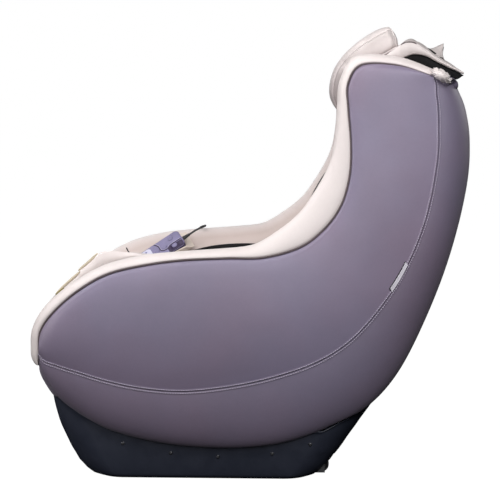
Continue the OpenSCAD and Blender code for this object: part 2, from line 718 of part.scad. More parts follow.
module handset_cord() {
    last = len(CORD_ROUTE) - 1;
    function ahead(s) = along(CORD_ROUTE, min(last, s + 0.05)) - along(CORD_ROUTE, max(0, s - 0.05));
    color("black")
        loft([for (s = steps(0, last, 0.42)) cord_ring(along(CORD_ROUTE, s), ahead(s), CORD_D / 2)]);
}

module cord_gland() {
    color("black") translate([0, GLAND[0], GLAND[1]]) {
        cylinder_x(GLAND_R, -272, -250);
        cylinder_x(9, -262, -258.6);
    }
}

side_cover(1);  // side_cover_left
side_cover(-1);  // side_cover_right
rear_cover();
rim(1);  // rim_left
rim(-1);  // rim_right
side_shell(1);  // side_shell_left
side_shell(-1);  // side_shell_right
seat_pad();
seat_flap();
back_pad();
front_apron();
crest_panel();
dust_cover();
head_pillow();
crest_flap();
zip_fastener();
care_label();
base_tub();
base_screws();
base_frame();
rail_supports();
transport_wheel(1);  // transport_wheel_left
transport_wheel(-1);  // transport_wheel_right
wheel_brackets();
guide_rail(1);  // guide_rail_left
guide_rail(-1);  // guide_rail_right
rack(1);  // rack_left
rack(-1);  // rack_right
carriage_frame();
travel_motor();
travel_pinion_shaft();
color("silver") guide_axle(GUIDE_SPREAD);  // guide_axle_upper
color("silver") guide_axle(-GUIDE_SPREAD);  // guide_axle_lower
knead_gearbox();
knead_motor();
knead_shaft();
arm(1);  // massage_arm_left
arm(-1);  // massage_arm_right
roller(1, 1);  // roller_left_upper
roller(1, -1);  // roller_left_lower
roller(-1, 1);  // roller_right_upper
roller(-1, -1);  // roller_right_lower
control_box();
power_supply();
inlet_housing();
rocker_switch();
handset_shell();
handset_face();
push_button("power");  // power_button
push_button("mode");  // mode_button
push_button("up");  // up_button
push_button("down");  // down_button
push_button("timer");  // timer_button
handset_pocket();
handset_strain_relief();
handset_cord();
cord_gland();
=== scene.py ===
"""The looks of a compact massage chair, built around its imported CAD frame.
Metres, +Z up, the chair faces -Y. Lengths in the shape tables are in millimetres, as MM says."""

import json
import math

import bmesh
import bpy
import numpy as np
from mathutils import Matrix, Vector, noise


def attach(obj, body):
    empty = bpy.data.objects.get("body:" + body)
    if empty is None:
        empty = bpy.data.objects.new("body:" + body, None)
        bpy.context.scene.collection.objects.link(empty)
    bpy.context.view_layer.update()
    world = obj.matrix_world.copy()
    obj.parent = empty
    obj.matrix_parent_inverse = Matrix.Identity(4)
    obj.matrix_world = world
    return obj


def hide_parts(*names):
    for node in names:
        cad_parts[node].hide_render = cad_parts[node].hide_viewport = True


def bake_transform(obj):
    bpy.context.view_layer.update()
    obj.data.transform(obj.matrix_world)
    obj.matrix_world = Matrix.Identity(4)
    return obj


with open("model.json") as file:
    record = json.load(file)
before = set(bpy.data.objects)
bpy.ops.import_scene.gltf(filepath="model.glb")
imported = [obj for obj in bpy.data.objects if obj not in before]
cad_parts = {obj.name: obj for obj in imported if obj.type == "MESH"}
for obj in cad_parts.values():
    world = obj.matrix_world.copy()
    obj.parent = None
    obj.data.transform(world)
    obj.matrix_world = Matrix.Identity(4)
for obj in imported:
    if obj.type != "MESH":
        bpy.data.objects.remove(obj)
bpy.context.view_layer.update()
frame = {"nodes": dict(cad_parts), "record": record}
MM = 0.001

# ---- Camera ----

CAMERA_AT = (4.5, 0.198, 0.9461)
CAMERA_TILT = math.radians(5.68)
CAMERA_YAW = math.radians(2.56)
CAMERA_LENS = 136.8


def make_camera():
    data = bpy.data.cameras.new("camera")
    data.lens = CAMERA_LENS
    data.sensor_width = 36
    data.clip_start = 0.1
    data.clip_end = 200
    camera = bpy.data.objects.new("camera", data)
    bpy.context.scene.collection.objects.link(camera)
    camera.location = CAMERA_AT
    look = Vector((-math.cos(CAMERA_TILT) * math.cos(CAMERA_YAW),
                   -math.cos(CAMERA_TILT) * math.sin(CAMERA_YAW), -math.sin(CAMERA_TILT)))
    camera.rotation_euler = look.to_track_quat("-Z", "Y").to_euler()
    bpy.context.scene.camera = camera


# ---- Shape functions, the CAD's to within a few millimetres ----

BODY_HALF = 322
COVER_T = 12
SIDE_CROWN = 9
LIP = 10
REAR_CROWN = 3
NOSE_CROWN = 18
NOSE_GROWTH = 4
RIM_WALL_IN = 84
RIM_CREST_IN = 32
NOSE_END = 3            # the station where the rims reach their full width
NOSE_NARROWER = 14
TUCK_END = 0.85         # the station where they reach their full height
NOSE_TUCK = 0.62        # how much of their height is gone at the tip
RIM_CORNERS = 14
RIM_SIDES = 64
TRACK = np.array([-87.0, 815.0])
PAD_BACK_R = 361
POCKET_W = 66

# Stations from the nose to the top rear corner: the panel's inner edge (y, z), its outer edge (y, z),
# the rim's crest (y, z), the half width less BODY_HALF, the seam's share of the way from inner to
# outer edge, the corner depth past the seam, and the drop of the pads at their edges and middle.
STATIONS = np.array([
    [-469, 262, -467, 250, -487, 254, -40, 0.02, 50,   4,  -8],
    [-467, 290, -464, 237, -490, 294, -34, 0.13, 52,   4, -12],
    [-463, 339, -451, 214, -484, 346, -27, 0.50, 54,   4, -12],
    [-432, 384, -420, 179, -452, 398, -14, 0.58, 52,   4,  -6],
    [-378, 432, -365, 142, -392, 450,  -6, 0.63, 50,   6,   2],
    [-309, 472, -305, 113, -318, 492,  -2, 0.67, 48,  22,  22],
    [-227, 493, -225,  92, -232, 514,   0, 0.69, 48,  46,  44],
    [-140, 505, -130,  79, -142, 524,   0, 0.69, 48,  54,  47],
    [ -39, 510,  -20,  76,  -45, 531,   0, 0.66, 48,  54,  46],
    [  41, 512,   85,  89,   20, 541,   0, 0.63, 50,  53,  44],
    [ 121, 535,  185, 122,   78, 575,  -1, 0.62, 56,  52,  44],
    [ 174, 575,  272, 168,  122, 613,  -2, 0.61, 66,  50,  42],
    [ 212, 628,  345, 250,  162, 673,  -3, 0.62, 76,  48,  40],
    [ 231, 695,  410, 383,  188, 729,  -6, 0.68, 84,  46,  38],
    [ 233, 765,  462, 526,  199, 789, -11, 0.72, 88,  42,  36],
    [ 227, 840,  495, 671,  202, 849, -17, 0.73, 88,  38,  34],
    [ 226, 895,  500, 770,  208, 905, -22, 0.73, 86,  32,  30],
    [ 255, 937,  490, 838,  243, 957, -26, 0.71, 82,  20,  18],
    [ 331, 937,  475, 877,  333, 956, -30, 0.61, 76,  14,  10],
    [ 400, 916,  466, 893,  405, 932, -33, 0.30, 68,  10,   6],
    [ 446, 900,  461, 893,  453, 909, -35, 0.06, 62,   8,   4],
], float)
S_END = len(STATIONS) - 1


def along(points, s):
    """The smooth curve through points, at the fractional place or places s."""
    p = np.asarray(points, float)
    last = len(p) - 1
    s = np.clip(np.asarray(s, float), 0, last)
    i = np.minimum(last - 1, np.floor(s)).astype(int)
    t = (s - i)[..., None]
    a, b, c, d = (p[np.clip(i + k, 0, last)] for k in (-1, 0, 1, 2))
    return 0.5 * (2 * b + (c - a) * t + (2 * a - 5 * b + 4 * c - d) * t**2 + (3 * b - a - 3 * c + d) * t**3)


def unit(v):
    return v / np.maximum(np.linalg.norm(v, axis=-1, keepdims=True), 1e-9)


def bell(d, width):
    return np.exp(-((d / width) ** 2))


def circle(count):
    """Angles evenly spaced round a full turn."""
    return np.linspace(0, 2 * math.pi, count, endpoint=False)


def at_x(x, yz):
    """Points of a side view at x."""
    x = np.broadcast_to(x, yz.shape[:-1])
    return np.concatenate([x[..., None], yz], axis=-1)


def skin(s, q):
    """A point of the skin. q is 0 at the rim, 1 at the seam, 2 at the outer edge, 3 mid rear."""
    s, q = np.broadcast_arrays(np.asarray(s, float), np.asarray(q, float))
    r = along(STATIONS, s)
    inner, outer = r[..., 0:2], r[..., 2:4]
    span, seam, corner = outer - inner, r[..., 7], r[..., 8]
    w = np.where(q < 1, seam * q, seam + (1 - seam) * (np.minimum(q, 2) - 1))
    past = np.clip(q - 1, 0, 1)
    near = np.minimum(q, 1)
    crown = SIDE_CROWN * 4 * near * (1 - near) - LIP * np.exp(-w * np.linalg.norm(span, axis=-1) / 12)
    side_x = BODY_HALF + r[..., 6] + crown - corner * (1 - np.sqrt(np.maximum(1 - past**2, 0)))
    across = np.maximum(0, q - 2)
    rear = unit(span) * (REAR_CROWN * (1 - (1 - across) ** 2))[..., None]
    swell = (NOSE_CROWN + NOSE_GROWTH * s) * (1 - (1 - across) ** 7) * np.clip(4 - s, 0, 1)
    nose = np.stack([-swell, np.zeros_like(swell)], axis=-1)
    return at_x(side_x * (1 - across), inner + span * w[..., None] + rear + nose)


def channel(s, x, drop):
    """A point under the line between the rims' crests."""
    r = along(STATIONS, s)
    up = unit(r[..., 4:6] - r[..., 0:2])
    return at_x(x, r[..., 4:6] - up * np.asarray(drop, float)[..., None])


def pad_drop(s, k):
    r = along(STATIONS, s)
    return r[..., 9] * k**2 + r[..., 10] * (1 - k**2)


def half_width(s):
    return BODY_HALF + along(STATIONS, s)[..., 6]


def side_widths(s):
    """Widths of a side's leather from its rim to the seam, and from the seam to its outer edge."""
    r = along(STATIONS, s)
    span = np.linalg.norm(r[..., 2:4] - r[..., 0:2], axis=-1)
    return span * r[..., 7], span * (1 - r[..., 7])


def nose_tuck(s):
    """1 at the tip of the nose, falling to 0 where the rims reach their full height."""
    return np.maximum(0, 1 - s / TUCK_END) ** 2


def rim_wall(s):
    """How far in from the side a rim's inner wall stands."""
    return RIM_WALL_IN - NOSE_NARROWER * np.maximum(0, 1 - s / NOSE_END)


def pad_left(s):
    return half_width(s) - 98


def pad_right(s):
    return -pad_left(s) + POCKET_W * np.interp(s, [4.6, 4.85, 6.9, 7.3], [0, 1, 1, 0])


def behind(p, radius):
    """The points straight behind p on the surface at a radius about the track, level ahead of it."""
    out = p[..., 1:3] - TRACK
    bent = TRACK + unit(out) * radius
    level = np.stack([p[..., 1], np.full(p.shape[:-1], TRACK[1] - radius)], axis=-1)
    return at_x(p[..., 0], np.where(out[..., :1] < 0, level, bent))


# ---- Mesh helpers ----

def mesh_object(name, points, faces, scale=MM):
    """A smooth-shaded object of points in millimetres, its faces turned outward."""
    mesh = bpy.data.meshes.new(name)
    mesh.from_pydata((np.asarray(points, float).reshape(-1, 3) * scale).tolist(), [], faces)
    bm = bmesh.new()
    bm.from_mesh(mesh)
    bmesh.ops.recalc_face_normals(bm, faces=bm.faces)
    bm.to_mesh(mesh)
    bm.free()
    mesh.shade_smooth()
    obj = bpy.data.objects.new(name, mesh)
    bpy.context.scene.collection.objects.link(obj)
    return obj


def loft(name, rings, capped=True):
    """A closed solid through rings of points, an array of (rings, points, 3)."""
    rings = np.asarray(rings, float)
    count, n = rings.shape[:2]
    faces = []
    for i in range(count - 1 if capped else count):
        a, b = i * n, (i + 1) % count * n
        faces += [(a + k, a + (k + 1) % n, b + (k + 1) % n, b + k) for k in range(n)]
    if capped:
        faces += [tuple(range(n)), tuple((count - 1) * n + k for k in range(n))]
    return mesh_object(name, rings, faces)


def grid_normals(grid):
    return unit(np.cross(np.gradient(grid, axis=0), np.gradient(grid, axis=1)))


def ring_normals(rings):
    """Outward normals of a loft's rings."""
    around = np.roll(rings, -1, axis=1) - np.roll(rings, 1, axis=1)
    normal = unit(np.cross(np.gradient(rings, axis=0), around))
    middle = rings.mean(axis=1, keepdims=True)
    turned = np.sum(normal * (rings - middle)) < 0
    return -normal if turned else normal


def wave(points, size, seed=0.0):
    """Smooth noise of about -1 to 1 at points in millimetres, with features of a given size."""
    flat = np.asarray(points, float).reshape(-1, 3) / size
    shift = Vector((seed * 7.3, seed * 3.1, seed * 5.7))
    return np.array([noise.noise(Vector(p) + shift) for p in flat]).reshape(np.shape(points)[:-1])


def thick_sheet(name, face, depth, edge=0.4):
    """A closed sheet below a grid of points, with rounded long sides. depth is its thickness."""
    normal = grid_normals(face)
    turned = np.sum(normal * np.array([0, 0, 1.0])) < 0
    normal = -normal if turned else normal
    back = face - normal * depth
    across = unit(face[:, -1] - face[:, 0])
    round_far = (face[:, -1] + back[:, -1]) / 2 + across * depth * edge
    round_near = (face[:, 0] + back[:, 0]) / 2 - across * depth * edge
    rings = np.concatenate([face, round_far[:, None], back[:, ::-1], round_near[:, None]], axis=1)
    return loft(name, rings)


def tube(name, path, radius, sides=10, closed=False):
    """A closed tube along a path of points in millimetres. radius is one number or one a point."""
    path = np.asarray(path, float)
    ahead = unit(np.roll(path, -1, 0) - np.roll(path, 1, 0)) if closed else unit(np.gradient(path, axis=0))
    side = np.zeros_like(path)
    start = np.cross(ahead[0], [0, 0, 1.0] if abs(ahead[0][2]) < 0.9 else [0, 1.0, 0])
    side[0] = start / np.linalg.norm(start)
    for i in range(1, len(path)):
        turned = side[i - 1] - ahead[i] * (side[i - 1] @ ahead[i])
        side[i] = turned / np.linalg.norm(turned)
    up = np.cross(side, ahead)
    angle = circle(sides)
    ring = np.cos(angle)[None, :, None] * side[:, None] + np.sin(angle)[None, :, None] * up[:, None]
    radius = np.broadcast_to(np.asarray(radius, float), len(path))
    return loft(name, path[:, None] + ring * radius[:, None, None], capped=not closed)


def spaced(path, step, values=None):
    """Points a step apart along a path, or the values of the path's points there."""
    path = np.asarray(path, float)
    values = path if values is None else np.asarray(values)
    run = np.concatenate([[0], np.cumsum(np.linalg.norm(np.diff(path, axis=0), axis=1))])
    at = np.arange(0, run[-1], step)
    return np.stack([np.interp(at, run, values[:, k]) for k in range(3)], axis=1)


def stitches(name, lines, pitch=5.6, length=3.9, width=0.85, lift=0.35):
    """Rows of sewn stitches as small spindles. lines is a list of (path, normals) in millimetres."""
    points, faces = [], []
    turn = circle(6)
    for path, normal in lines:
        place = spaced(path, pitch)
        out = unit(spaced(path, pitch, normal))
        ahead = unit(np.gradient(place, axis=0))
        side = np.cross(ahead, out)
        for p, n, a, b in zip(place, out, ahead, side):
            base = len(points)
            for share, r in ((-0.5, 0.35), (-0.28, 1.0), (0.28, 1.0), (0.5, 0.35)):
                centre = p + a * share * length + n * (lift if r == 1.0 else lift - 0.6)
                points += [centre + (np.cos(t) * b + np.sin(t) * n) * width * r for t in turn]
            for k in range(3):
                for j in range(6):
                    i0, i1 = base + k * 6 + j, base + k * 6 + (j + 1) % 6
                    faces.append((i0, i1, i1 + 6, i0 + 6))
            faces.append(tuple(base + j for j in range(5, -1, -1)))
            faces.append(tuple(base + 18 + j for j in range(6)))
    return mesh_object(name, points, faces)


def mirrored(obj, name):
    """A copy of obj on the other side of the chair."""
    mesh = obj.data.copy()
    mesh.transform(Matrix.Scale(-1, 4, (1, 0, 0)))
    mesh.flip_normals()
    other = bpy.data.objects.new(name, mesh)
    bpy.context.scene.collection.objects.link(other)
    return other


def apply_modifiers(obj):
    depsgraph = bpy.context.evaluated_depsgraph_get()
    mesh = bpy.data.meshes.new_from_object(obj.evaluated_get(depsgraph))
    obj.modifiers.clear()
    old = obj.data
    obj.data = mesh
    bpy.data.meshes.remove(old)
    return obj


def cut(obj, cutter):
    """Takes cutter out of obj and removes the cutter."""
    modifier = obj.modifiers.new("cut", "BOOLEAN")
    modifier.operation = "DIFFERENCE"
    modifier.solver = "EXACT"
    modifier.object = cutter
    apply_modifiers(obj)
    bpy.data.objects.remove(cutter)
    return obj


def finish_piece(obj, mat, *replaces, slot=None, body="root"):
    """Gives a piece its material and its body, and hides the CAD nodes that it stands for.
    slot is not used."""
    obj.data.materials.clear()
    obj.data.materials.append(MATERIALS[mat])
    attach(obj, body)
    if replaces:
        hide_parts(*replaces)
    return obj


def finish_pair(left, mat, *replaces, slot=None):
    """Finishes a piece of the left side and its copy on the right side."""
    right = mirrored(left, left.name.replace("left", "right"))
    finish_piece(left, mat, *replaces, slot=slot)
    finish_piece(right, mat, *(name.replace("left", "right") for name in replaces), slot=slot)


# ---- Materials ----

MATERIALS = {}


def node(tree, kind, inputs=None, **settings):
    made = tree.nodes.new("ShaderNode" + kind)
    for key, value in settings.items():
        setattr(made, key, value)
    for key, value in (inputs or {}).items():
        if isinstance(value, bpy.types.NodeSocket):
            tree.links.new(value, made.inputs[key])
        else:
            made.inputs[key].default_value = value
    return made


def new_material(name, **sockets):
    """Stores a new material. Gives its tree, shader and place in metres. sockets are fixed values."""
    mat = MATERIALS[name] = bpy.data.materials.new(name)
    mat.use_nodes = True
    tree = mat.node_tree
    shader = tree.nodes["Principled BSDF"]
    for key, value in sockets.items():
        shader.inputs[key.replace("_", " ")].default_value = value
    return tree, shader, node(tree, "TexCoord").outputs["Object"]


def noise_of(tree, place, scale, detail=4.0, rough=0.55):
    inputs = {"Vector": place, "Scale": scale, "Detail": detail, "Roughness": rough}
    return node(tree, "TexNoise", inputs).outputs["Fac"]


def maths(tree, operation, a, b=0.0):
    return node(tree, "Math", {0: a, 1: b}, operation=operation).outputs[0]


def ramp(tree, share, *stops):
    made = node(tree, "ValToRGB", {"Fac": share})
    elements = made.color_ramp.elements
    while len(elements) < len(stops):
        elements.new(0.5)
    for element, (at, colour) in zip(elements, stops):
        element.position = at
        element.color = (*colour, 1)
    return made.outputs["Color"]


def spread(tree, share, low, high, start=0.3, end=0.7):
    inputs = {"Value": share, "From Min": start, "From Max": end, "To Min": low, "To Max": high}
    return node(tree, "MapRange", inputs).outputs[0]


def tint(colour, share):
    return tuple(min(1, c * share) for c in colour)


def cloudy(tree, share, colour, vary, low=0.3, high=0.7):
    """A colour a little darker than the given one at low, and a little lighter at high."""
    return ramp(tree, share, (low, tint(colour, 1 - vary)), (high, tint(colour, 1 + vary)))


def mix_colour(tree, share, a, b):
    return node(tree, "Mix", {0: share, 6: a, 7: b}, data_type="RGBA").outputs[2]


def tint_of(tree, colour, shade):
    inputs = {0: 1.0, 6: colour, 7: (*shade, 1)}
    return node(tree, "Mix", inputs, data_type="RGBA", blend_type="MULTIPLY").outputs[2]


def surface(tree, shader, colour, gloss, height, depth):
    """Links a material's colour, its roughness where it varies, and its bump, in metres."""
    tree.links.new(colour, shader.inputs["Base Color"])
    if gloss:
        tree.links.new(gloss, shader.inputs["Roughness"])
    relief = node(tree, "Bump", {"Height": height, "Distance": depth, "Strength": 1.0})
    tree.links.new(relief.outputs["Normal"], shader.inputs["Normal"])


def leather(name, colour, rough=0.45, mottle=0.07, painted_shade=(0.5, 0.46, 0.42), painted_height_shade=None, drift=None):
    """Coated leather: cloudy colour, a fine pebble grain, and painted shade in seams and hollows where its
    painted-shade point attribute says.
    The height shade is a low and a high height and the tint below them, painted shade that darkens towards
    the bottom; drift is the tint of large patches."""
    tree, shader, place = new_material(name, Sheen_Weight=0.08, Sheen_Roughness=0.5, Coat_Weight=0.06,
                                       Coat_Roughness=0.4)
    clouds = noise_of(tree, place, 6, 5, 0.6)
    specks = noise_of(tree, place, 160, 3, 0.7)
    both = maths(tree, "ADD", maths(tree, "MULTIPLY", clouds, 0.75), maths(tree, "MULTIPLY", specks, 0.25))
    base = cloudy(tree, both, colour, mottle, 0.36, 0.64)
    if drift:
        patches = spread(tree, noise_of(tree, place, 3.2, 3, 0.5), 0.0, 1.0, 0.38, 0.62)
        base = mix_colour(tree, patches, base, tint_of(tree, base, drift))
    # painted shade: the leather darkens towards the bottom, below the low height
    if painted_height_shade:
        low, high, shade = painted_height_shade
        height = node(tree, "SeparateXYZ", {0: place}).outputs["Z"]
        base = mix_colour(tree, spread(tree, height, 1.0, 0.0, low, high), base, tint_of(tree, base, shade))
    # painted shade: the point attribute darkens seams, grooves, pad channels and the rims' inner walls
    seam = node(tree, "Attribute", attribute_name="painted_shade").outputs["Fac"]
    base = mix_colour(tree, seam, base, tint_of(tree, base, painted_shade))
    cells = node(tree, "TexVoronoi", {"Vector": place, "Scale": 700.0}, feature="DISTANCE_TO_EDGE").outputs[0]
    grain = maths(tree, "ADD", maths(tree, "MINIMUM", cells, 0.16), maths(tree, "MULTIPLY", specks, 0.25))
    surface(tree, shader, base, spread(tree, both, rough + 0.06, rough - 0.05), grain, 0.00045)


def plastic(name, colour, rough=0.4, spark=900.0, depth=0.00012, vary=0.1, **sockets):
    """Moulded plastic or paint: a fine spark texture, and faint handling marks in its gloss."""
    tree, shader, place = new_material(name, **sockets)
    marks = noise_of(tree, place, 22, 5, 0.65)
    gloss = spread(tree, marks, rough - 0.06, rough + 0.08)
    sparks = noise_of(tree, place, spark, 2, 0.5)
    surface(tree, shader, cloudy(tree, marks, colour, vary), gloss, sparks, depth)


def metal(name, colour, rough=0.35, grain=(1, 1, 1)):
    """Bare or plated metal, with brush marks stretched by grain."""
    tree, shader, place = new_material(name, Metallic=1.0)
    stretched = node(tree, "Mapping", {"Vector": place, "Scale": grain}).outputs[0]
    marks = noise_of(tree, stretched, 120, 4, 0.6)
    gloss = spread(tree, marks, rough - 0.08, rough + 0.1)
    surface(tree, shader, cloudy(tree, marks, colour, 0.08), gloss, marks, 0.00003)


def cloth(name, colour, thread=1400.0, rough=0.8, vary=0.35):
    """Woven cloth or tape, with its threads crossing at right angles."""
    tree, shader, place = new_material(name, Sheen_Weight=0.3, Sheen_Roughness=0.4, Roughness=rough)
    axes = node(tree, "SeparateXYZ", {0: place})
    slant = maths(tree, "ADD", axes.outputs["Y"], axes.outputs["Z"])
    warp = maths(tree, "SINE", maths(tree, "MULTIPLY", axes.outputs["X"], thread * 2))
    weft = maths(tree, "SINE", maths(tree, "MULTIPLY", slant, thread * 2))
    weave = spread(tree, maths(tree, "MULTIPLY", warp, weft), 0.0, 1.0, -1.0, 1.0)
    surface(tree, shader, cloudy(tree, weave, colour, vary, 0.2, 0.8), None, weave, 0.0002)


def wood(name):
    """Plywood with stretched growth rings."""
    tree, shader, place = new_material(name, Roughness=0.6)
    stretched = node(tree, "Mapping", {"Vector": place, "Scale": (40, 3, 9)}).outputs[0]
    rings = noise_of(tree, stretched, 3, 6, 0.7)
    colour = ramp(tree, rings, (0.3, (0.42, 0.27, 0.14)), (0.55, (0.62, 0.45, 0.27)),
                  (0.8, (0.7, 0.54, 0.35)))
    surface(tree, shader, colour, None, rings, 0.0002)


GREY = (0.238, 0.204, 0.296)
CREAM = (0.765, 0.69, 0.675)
PLASTICS = {  # colour and roughness
    "zip": ((0.02, 0.02, 0.022), 0.45),
    "frame_steel": ((0.05, 0.05, 0.055), 0.5),
    "wheel_plastic": ((0.018, 0.018, 0.02), 0.5),
    "rack_nylon": ((0.8, 0.8, 0.76), 0.45),
    "carriage_paint": ((0.09, 0.09, 0.1), 0.45),
    "motor_paint": ((0.12, 0.12, 0.13), 0.4),
    "arm_plastic": ((0.72, 0.72, 0.70), 0.5),
    "roller_rubber": ((0.42, 0.28, 0.17), 0.6),
    "electrics_plastic": ((0.1, 0.1, 0.11), 0.5),
    "rocker_plastic": ((0.42, 0.02, 0.02), 0.25),
    "handset_plastic": ((0.06, 0.045, 0.10), 0.42),
    # painted shade for the handset's shaded side and the dark line along its ridge
    "handset_painted_shade": ((0.035, 0.022, 0.06), 0.55),
    "handset_print": ((0.66, 0.64, 0.78), 0.45),
    "handset_ink": ((0.16, 0.17, 0.36), 0.5),
    # painted highlight along the handset's ridge line
    "handset_painted_highlight": ((0.44, 0.41, 0.56), 0.4),
    "button_plastic": ((0.195, 0.174, 0.30), 0.35),
    "cord_rubber": ((0.016, 0.015, 0.018), 0.45),
}


def make_materials():
    # the side panel's leather, with painted shade towards its bottom
    leather("grey_leather", GREY, 0.44, 0.05, painted_height_shade=(0.17, 0.45, (0.68, 0.68, 0.70)), drift=(1.0, 0.92, 0.90))
    # the grey leather darkened as painted shade for the gusset, which turns away from the light
    leather("grey_leather_shaded", tint(GREY, 0.80), 0.46, 0.06, drift=(1.0, 0.93, 0.91))
    leather("cream_leather", CREAM, 0.42, 0.03, (0.55, 0.45, 0.4))
    # a darker copy of the cream leather: painted shade for the apron and the flaps
    leather("cream_painted_shade", tint(CREAM, 0.86), 0.45, 0.04, (0.5, 0.42, 0.36))
    # the pillow's leather, a little darker than the cream, with painted shade towards the pillow's bottom
    leather("pillow_leather", tint(CREAM, 0.96), 0.44, 0.03, (0.5, 0.42, 0.38),
            (0.90, 0.99, (0.62, 0.60, 0.61)))
    leather("piping_leather", (0.115, 0.085, 0.09), 0.5, 0.1)
    leather("hem_leather", (0.56, 0.48, 0.36), 0.5, 0.06)
    leather("pocket_leather", (0.66, 0.57, 0.50), 0.5, 0.06)
    # dark olive cloth for painted shade in the gap under the seat flap
    cloth("flap_gap_shade", (0.17, 0.14, 0.035), 1100, 0.85)
    cloth("black_lining", (0.0035, 0.003, 0.004), 1300, 0.95)
    cloth("grey_thread", (0.50, 0.45, 0.56), 3000, 0.6)
    cloth("dust_cloth", (0.012, 0.011, 0.014), 1000, 0.9)
    wood("plywood")
    metal("zip_teeth", (0.75, 0.73, 0.7), 0.3)
    metal("screw_steel", (0.10, 0.10, 0.11), 0.5)
    metal("rail_steel", (0.56, 0.57, 0.59), 0.3, (1, 8, 8))
    metal("gearbox_aluminium", (0.62, 0.63, 0.65), 0.5)
    metal("shaft_steel", (0.6, 0.6, 0.62), 0.22, (0.5, 12, 12))
    for name, (colour, rough) in PLASTICS.items():
        plastic(name, colour, rough)
    plastic("label_tape", (0.88, 0.84, 0.93), 0.6, 1500.0, 0.0002, 0.04)
    plastic("base_plastic", (0.027, 0.031, 0.048), 0.4, 700.0, 0.0002)
    plastic("handset_face", (0.20, 0.178, 0.31), 0.34, vary=0.2, Coat_Weight=0.1)


make_materials()

# ---- Cord ----

CORD_D = 5
CORD_ROUTE = [
    (-272, -40, 40), (-287, -40, 38), (-301, -38, 30), (-312, -30, 17), (-320, -14, 6),
    (-326, 12, 2.8), (-331, 60, 2.8), (-338, 110, 2.8), (-347, 145, 2.8), (-361, 152, 2.8),
    (-371, 135, 2.8), (-373, 90, 2.8), (-371, 30, 2.8), (-369, -30, 2.8), (-368, -85, 3),
    (-368, -122, 9), (-367, -141, 30), (-363, -148, 70), (-355, -150, 130), (-347, -151, 200),
    (-342, -151, 300), (-340, -151, 400), (-335, -150, 470), (-325, -148, 506), (-309, -145, 522),
    (-290, -140, 527.5), (-270, -133, 531.5), (-250, -127, 534.5), (-233, -127, 534.5),
    (-221, -136, 531.5), (-216.6, -147, 526.6), (-215.4, -156.4, 520.8), (-214.4, -163.9, 515.6),
]


def make_cord():
    """The handset's cord, from its gland on the base, over the far rim, to the handset."""
    path = along(CORD_ROUTE, np.linspace(0, len(CORD_ROUTE) - 1, 330))
    cord = tube("cord", path, CORD_D / 2, 12)
    finish_piece(cord, "cord_rubber", "handset_cord")


# ---- Upholstery ----

NEAR_EDGE = np.array([0, 0.5, 1.0, 1.6, 2.3, 3.1, 4.0, 5.2, 7.0, 9.5, 13, 18])
NEAR_SHARE = np.array([0, 0.01, 0.02, 0.035, 0.05, 0.07, 0.09, 0.115, 0.145, 0.18, 0.22, 0.27])


PANEL_END = 0.9994      # how near the panel and the gusset come to the seam, as shares of their widths
GUSSET_START = 0.0006
GUSSET_HOLE_AT = 186    # the height where the base goes through the gusset
REAR_COUNT = 15
STITCH_OFFSET = 3.6     # from the seam
STITCH_LIFT = 0.95
RIM_GAP = 1.5
TUCK_DROP = 12


def crowd(width, middle):
    """Places across a panel of a given width, close together near both of its edges."""
    start = np.minimum(NEAR_EDGE, width * NEAR_SHARE)
    inside = np.linspace(start[-1], width - start[-1], middle + 2)[1:-1]
    return np.concatenate([start, inside, (width - start)[::-1]])


def welt(d):
    """Height of the leather at a distance from a seam: a thread groove with a puffed lip beside it."""
    return 0.9 * bell(d - 3.0, 1.5) - 1.1 * bell(d, 1.0)


def give_painted_shade(obj, values):
    """Stores painted shade at each point, how deep in a seam or hollow it lies, which the leather material
    darkens.
    """
    attribute = obj.data.attributes.new("painted_shade", "FLOAT", "POINT")
    attribute.data.foreach_set("value", np.clip(np.ravel(values), 0, 1).astype(np.float32))


def make_side_panel():
    """The side's large panel: a crowned cover, rolled in at the rim and sewn to the gusset."""
    stations = np.concatenate([np.linspace(0.0, 1.0, 12)[:-1], np.linspace(1.0, S_END - 0.4, 200)])
    widths = side_widths(stations)[0][:, None]
    places = np.array([crowd(width, 26) for width in widths[:, 0]])
    to_seam = widths - places
    # painted shade along the groove at the rim and along the seam
    painted_shade = 0.45 * bell(places, 2.2) + 0.3 * bell(to_seam, 1.0)
    face = skin(stations[:, None], np.minimum(places / widths, PANEL_END))
    normal = grid_normals(face)
    normal *= np.sign(np.sum(normal[..., 0]))
    small = np.clip(widths / 30, 0, 1)
    back_edge = np.clip((stations - 9) / 2, 0, 1)[:, None]
    height = welt(to_seam) * small - 1.6 * bell(places, 2.0) * small
    height += (0.5 + 0.9 * back_edge) * bell(places - 9.5, 3.2) * small
    calm = np.clip(np.minimum(places, to_seam) / 50, 0, 1)
    height += calm * (1.1 * wave(face, 170, 1) + 0.35 * wave(face, 60, 2))
    back = face.copy()
    back[..., 0] -= COVER_T * np.clip(widths / 20, 0.1, 1)
    face = face + normal * height[..., None]
    panel = loft("side_panel_left", np.concatenate([face, back[:, ::-1]], axis=1))
    give_painted_shade(panel, np.concatenate([painted_shade, np.ones_like(painted_shade)], axis=1))
    finish_pair(panel, "grey_leather", "side_cover_left")


TUB_LAYERS = [  # z, front y, rear y, half width, plan corner radius
    [0, -340, 142, 250, 60], [5, -358, 158, 257, 66], [14, -372, 172, 260, 70],
    [34, -390, 190, 264, 74], [67, -409, 215, 268, 76], [122, -433, 252, 272, 78], [190, -449, 295, 274, 80],
]
TUB_Z = [layer[0] for layer in TUB_LAYERS]
BASE_GAP = 7


def tub_point(angle, z, inset=0.0):
    """Points of the base's wall at a height, angle by angle round its rounded rectangle."""
    layer = along([row[1:] for row in TUB_LAYERS], np.interp(z, TUB_Z, range(len(TUB_Z))))
    front, rear, half, corner = np.moveaxis(layer, -1, 0)
    corner, half, front, rear = corner - inset, half - inset, front + inset, rear - inset
    c, s = np.cos(angle), np.sin(angle)
    x = np.where(np.abs(c) < 1e-9, 0, np.sign(c)) * (half - corner) + corner * c
    y = np.where(s > 0, rear - corner, front + corner) + corner * s
    return np.stack([x, y, np.full_like(x, z)], axis=-1)


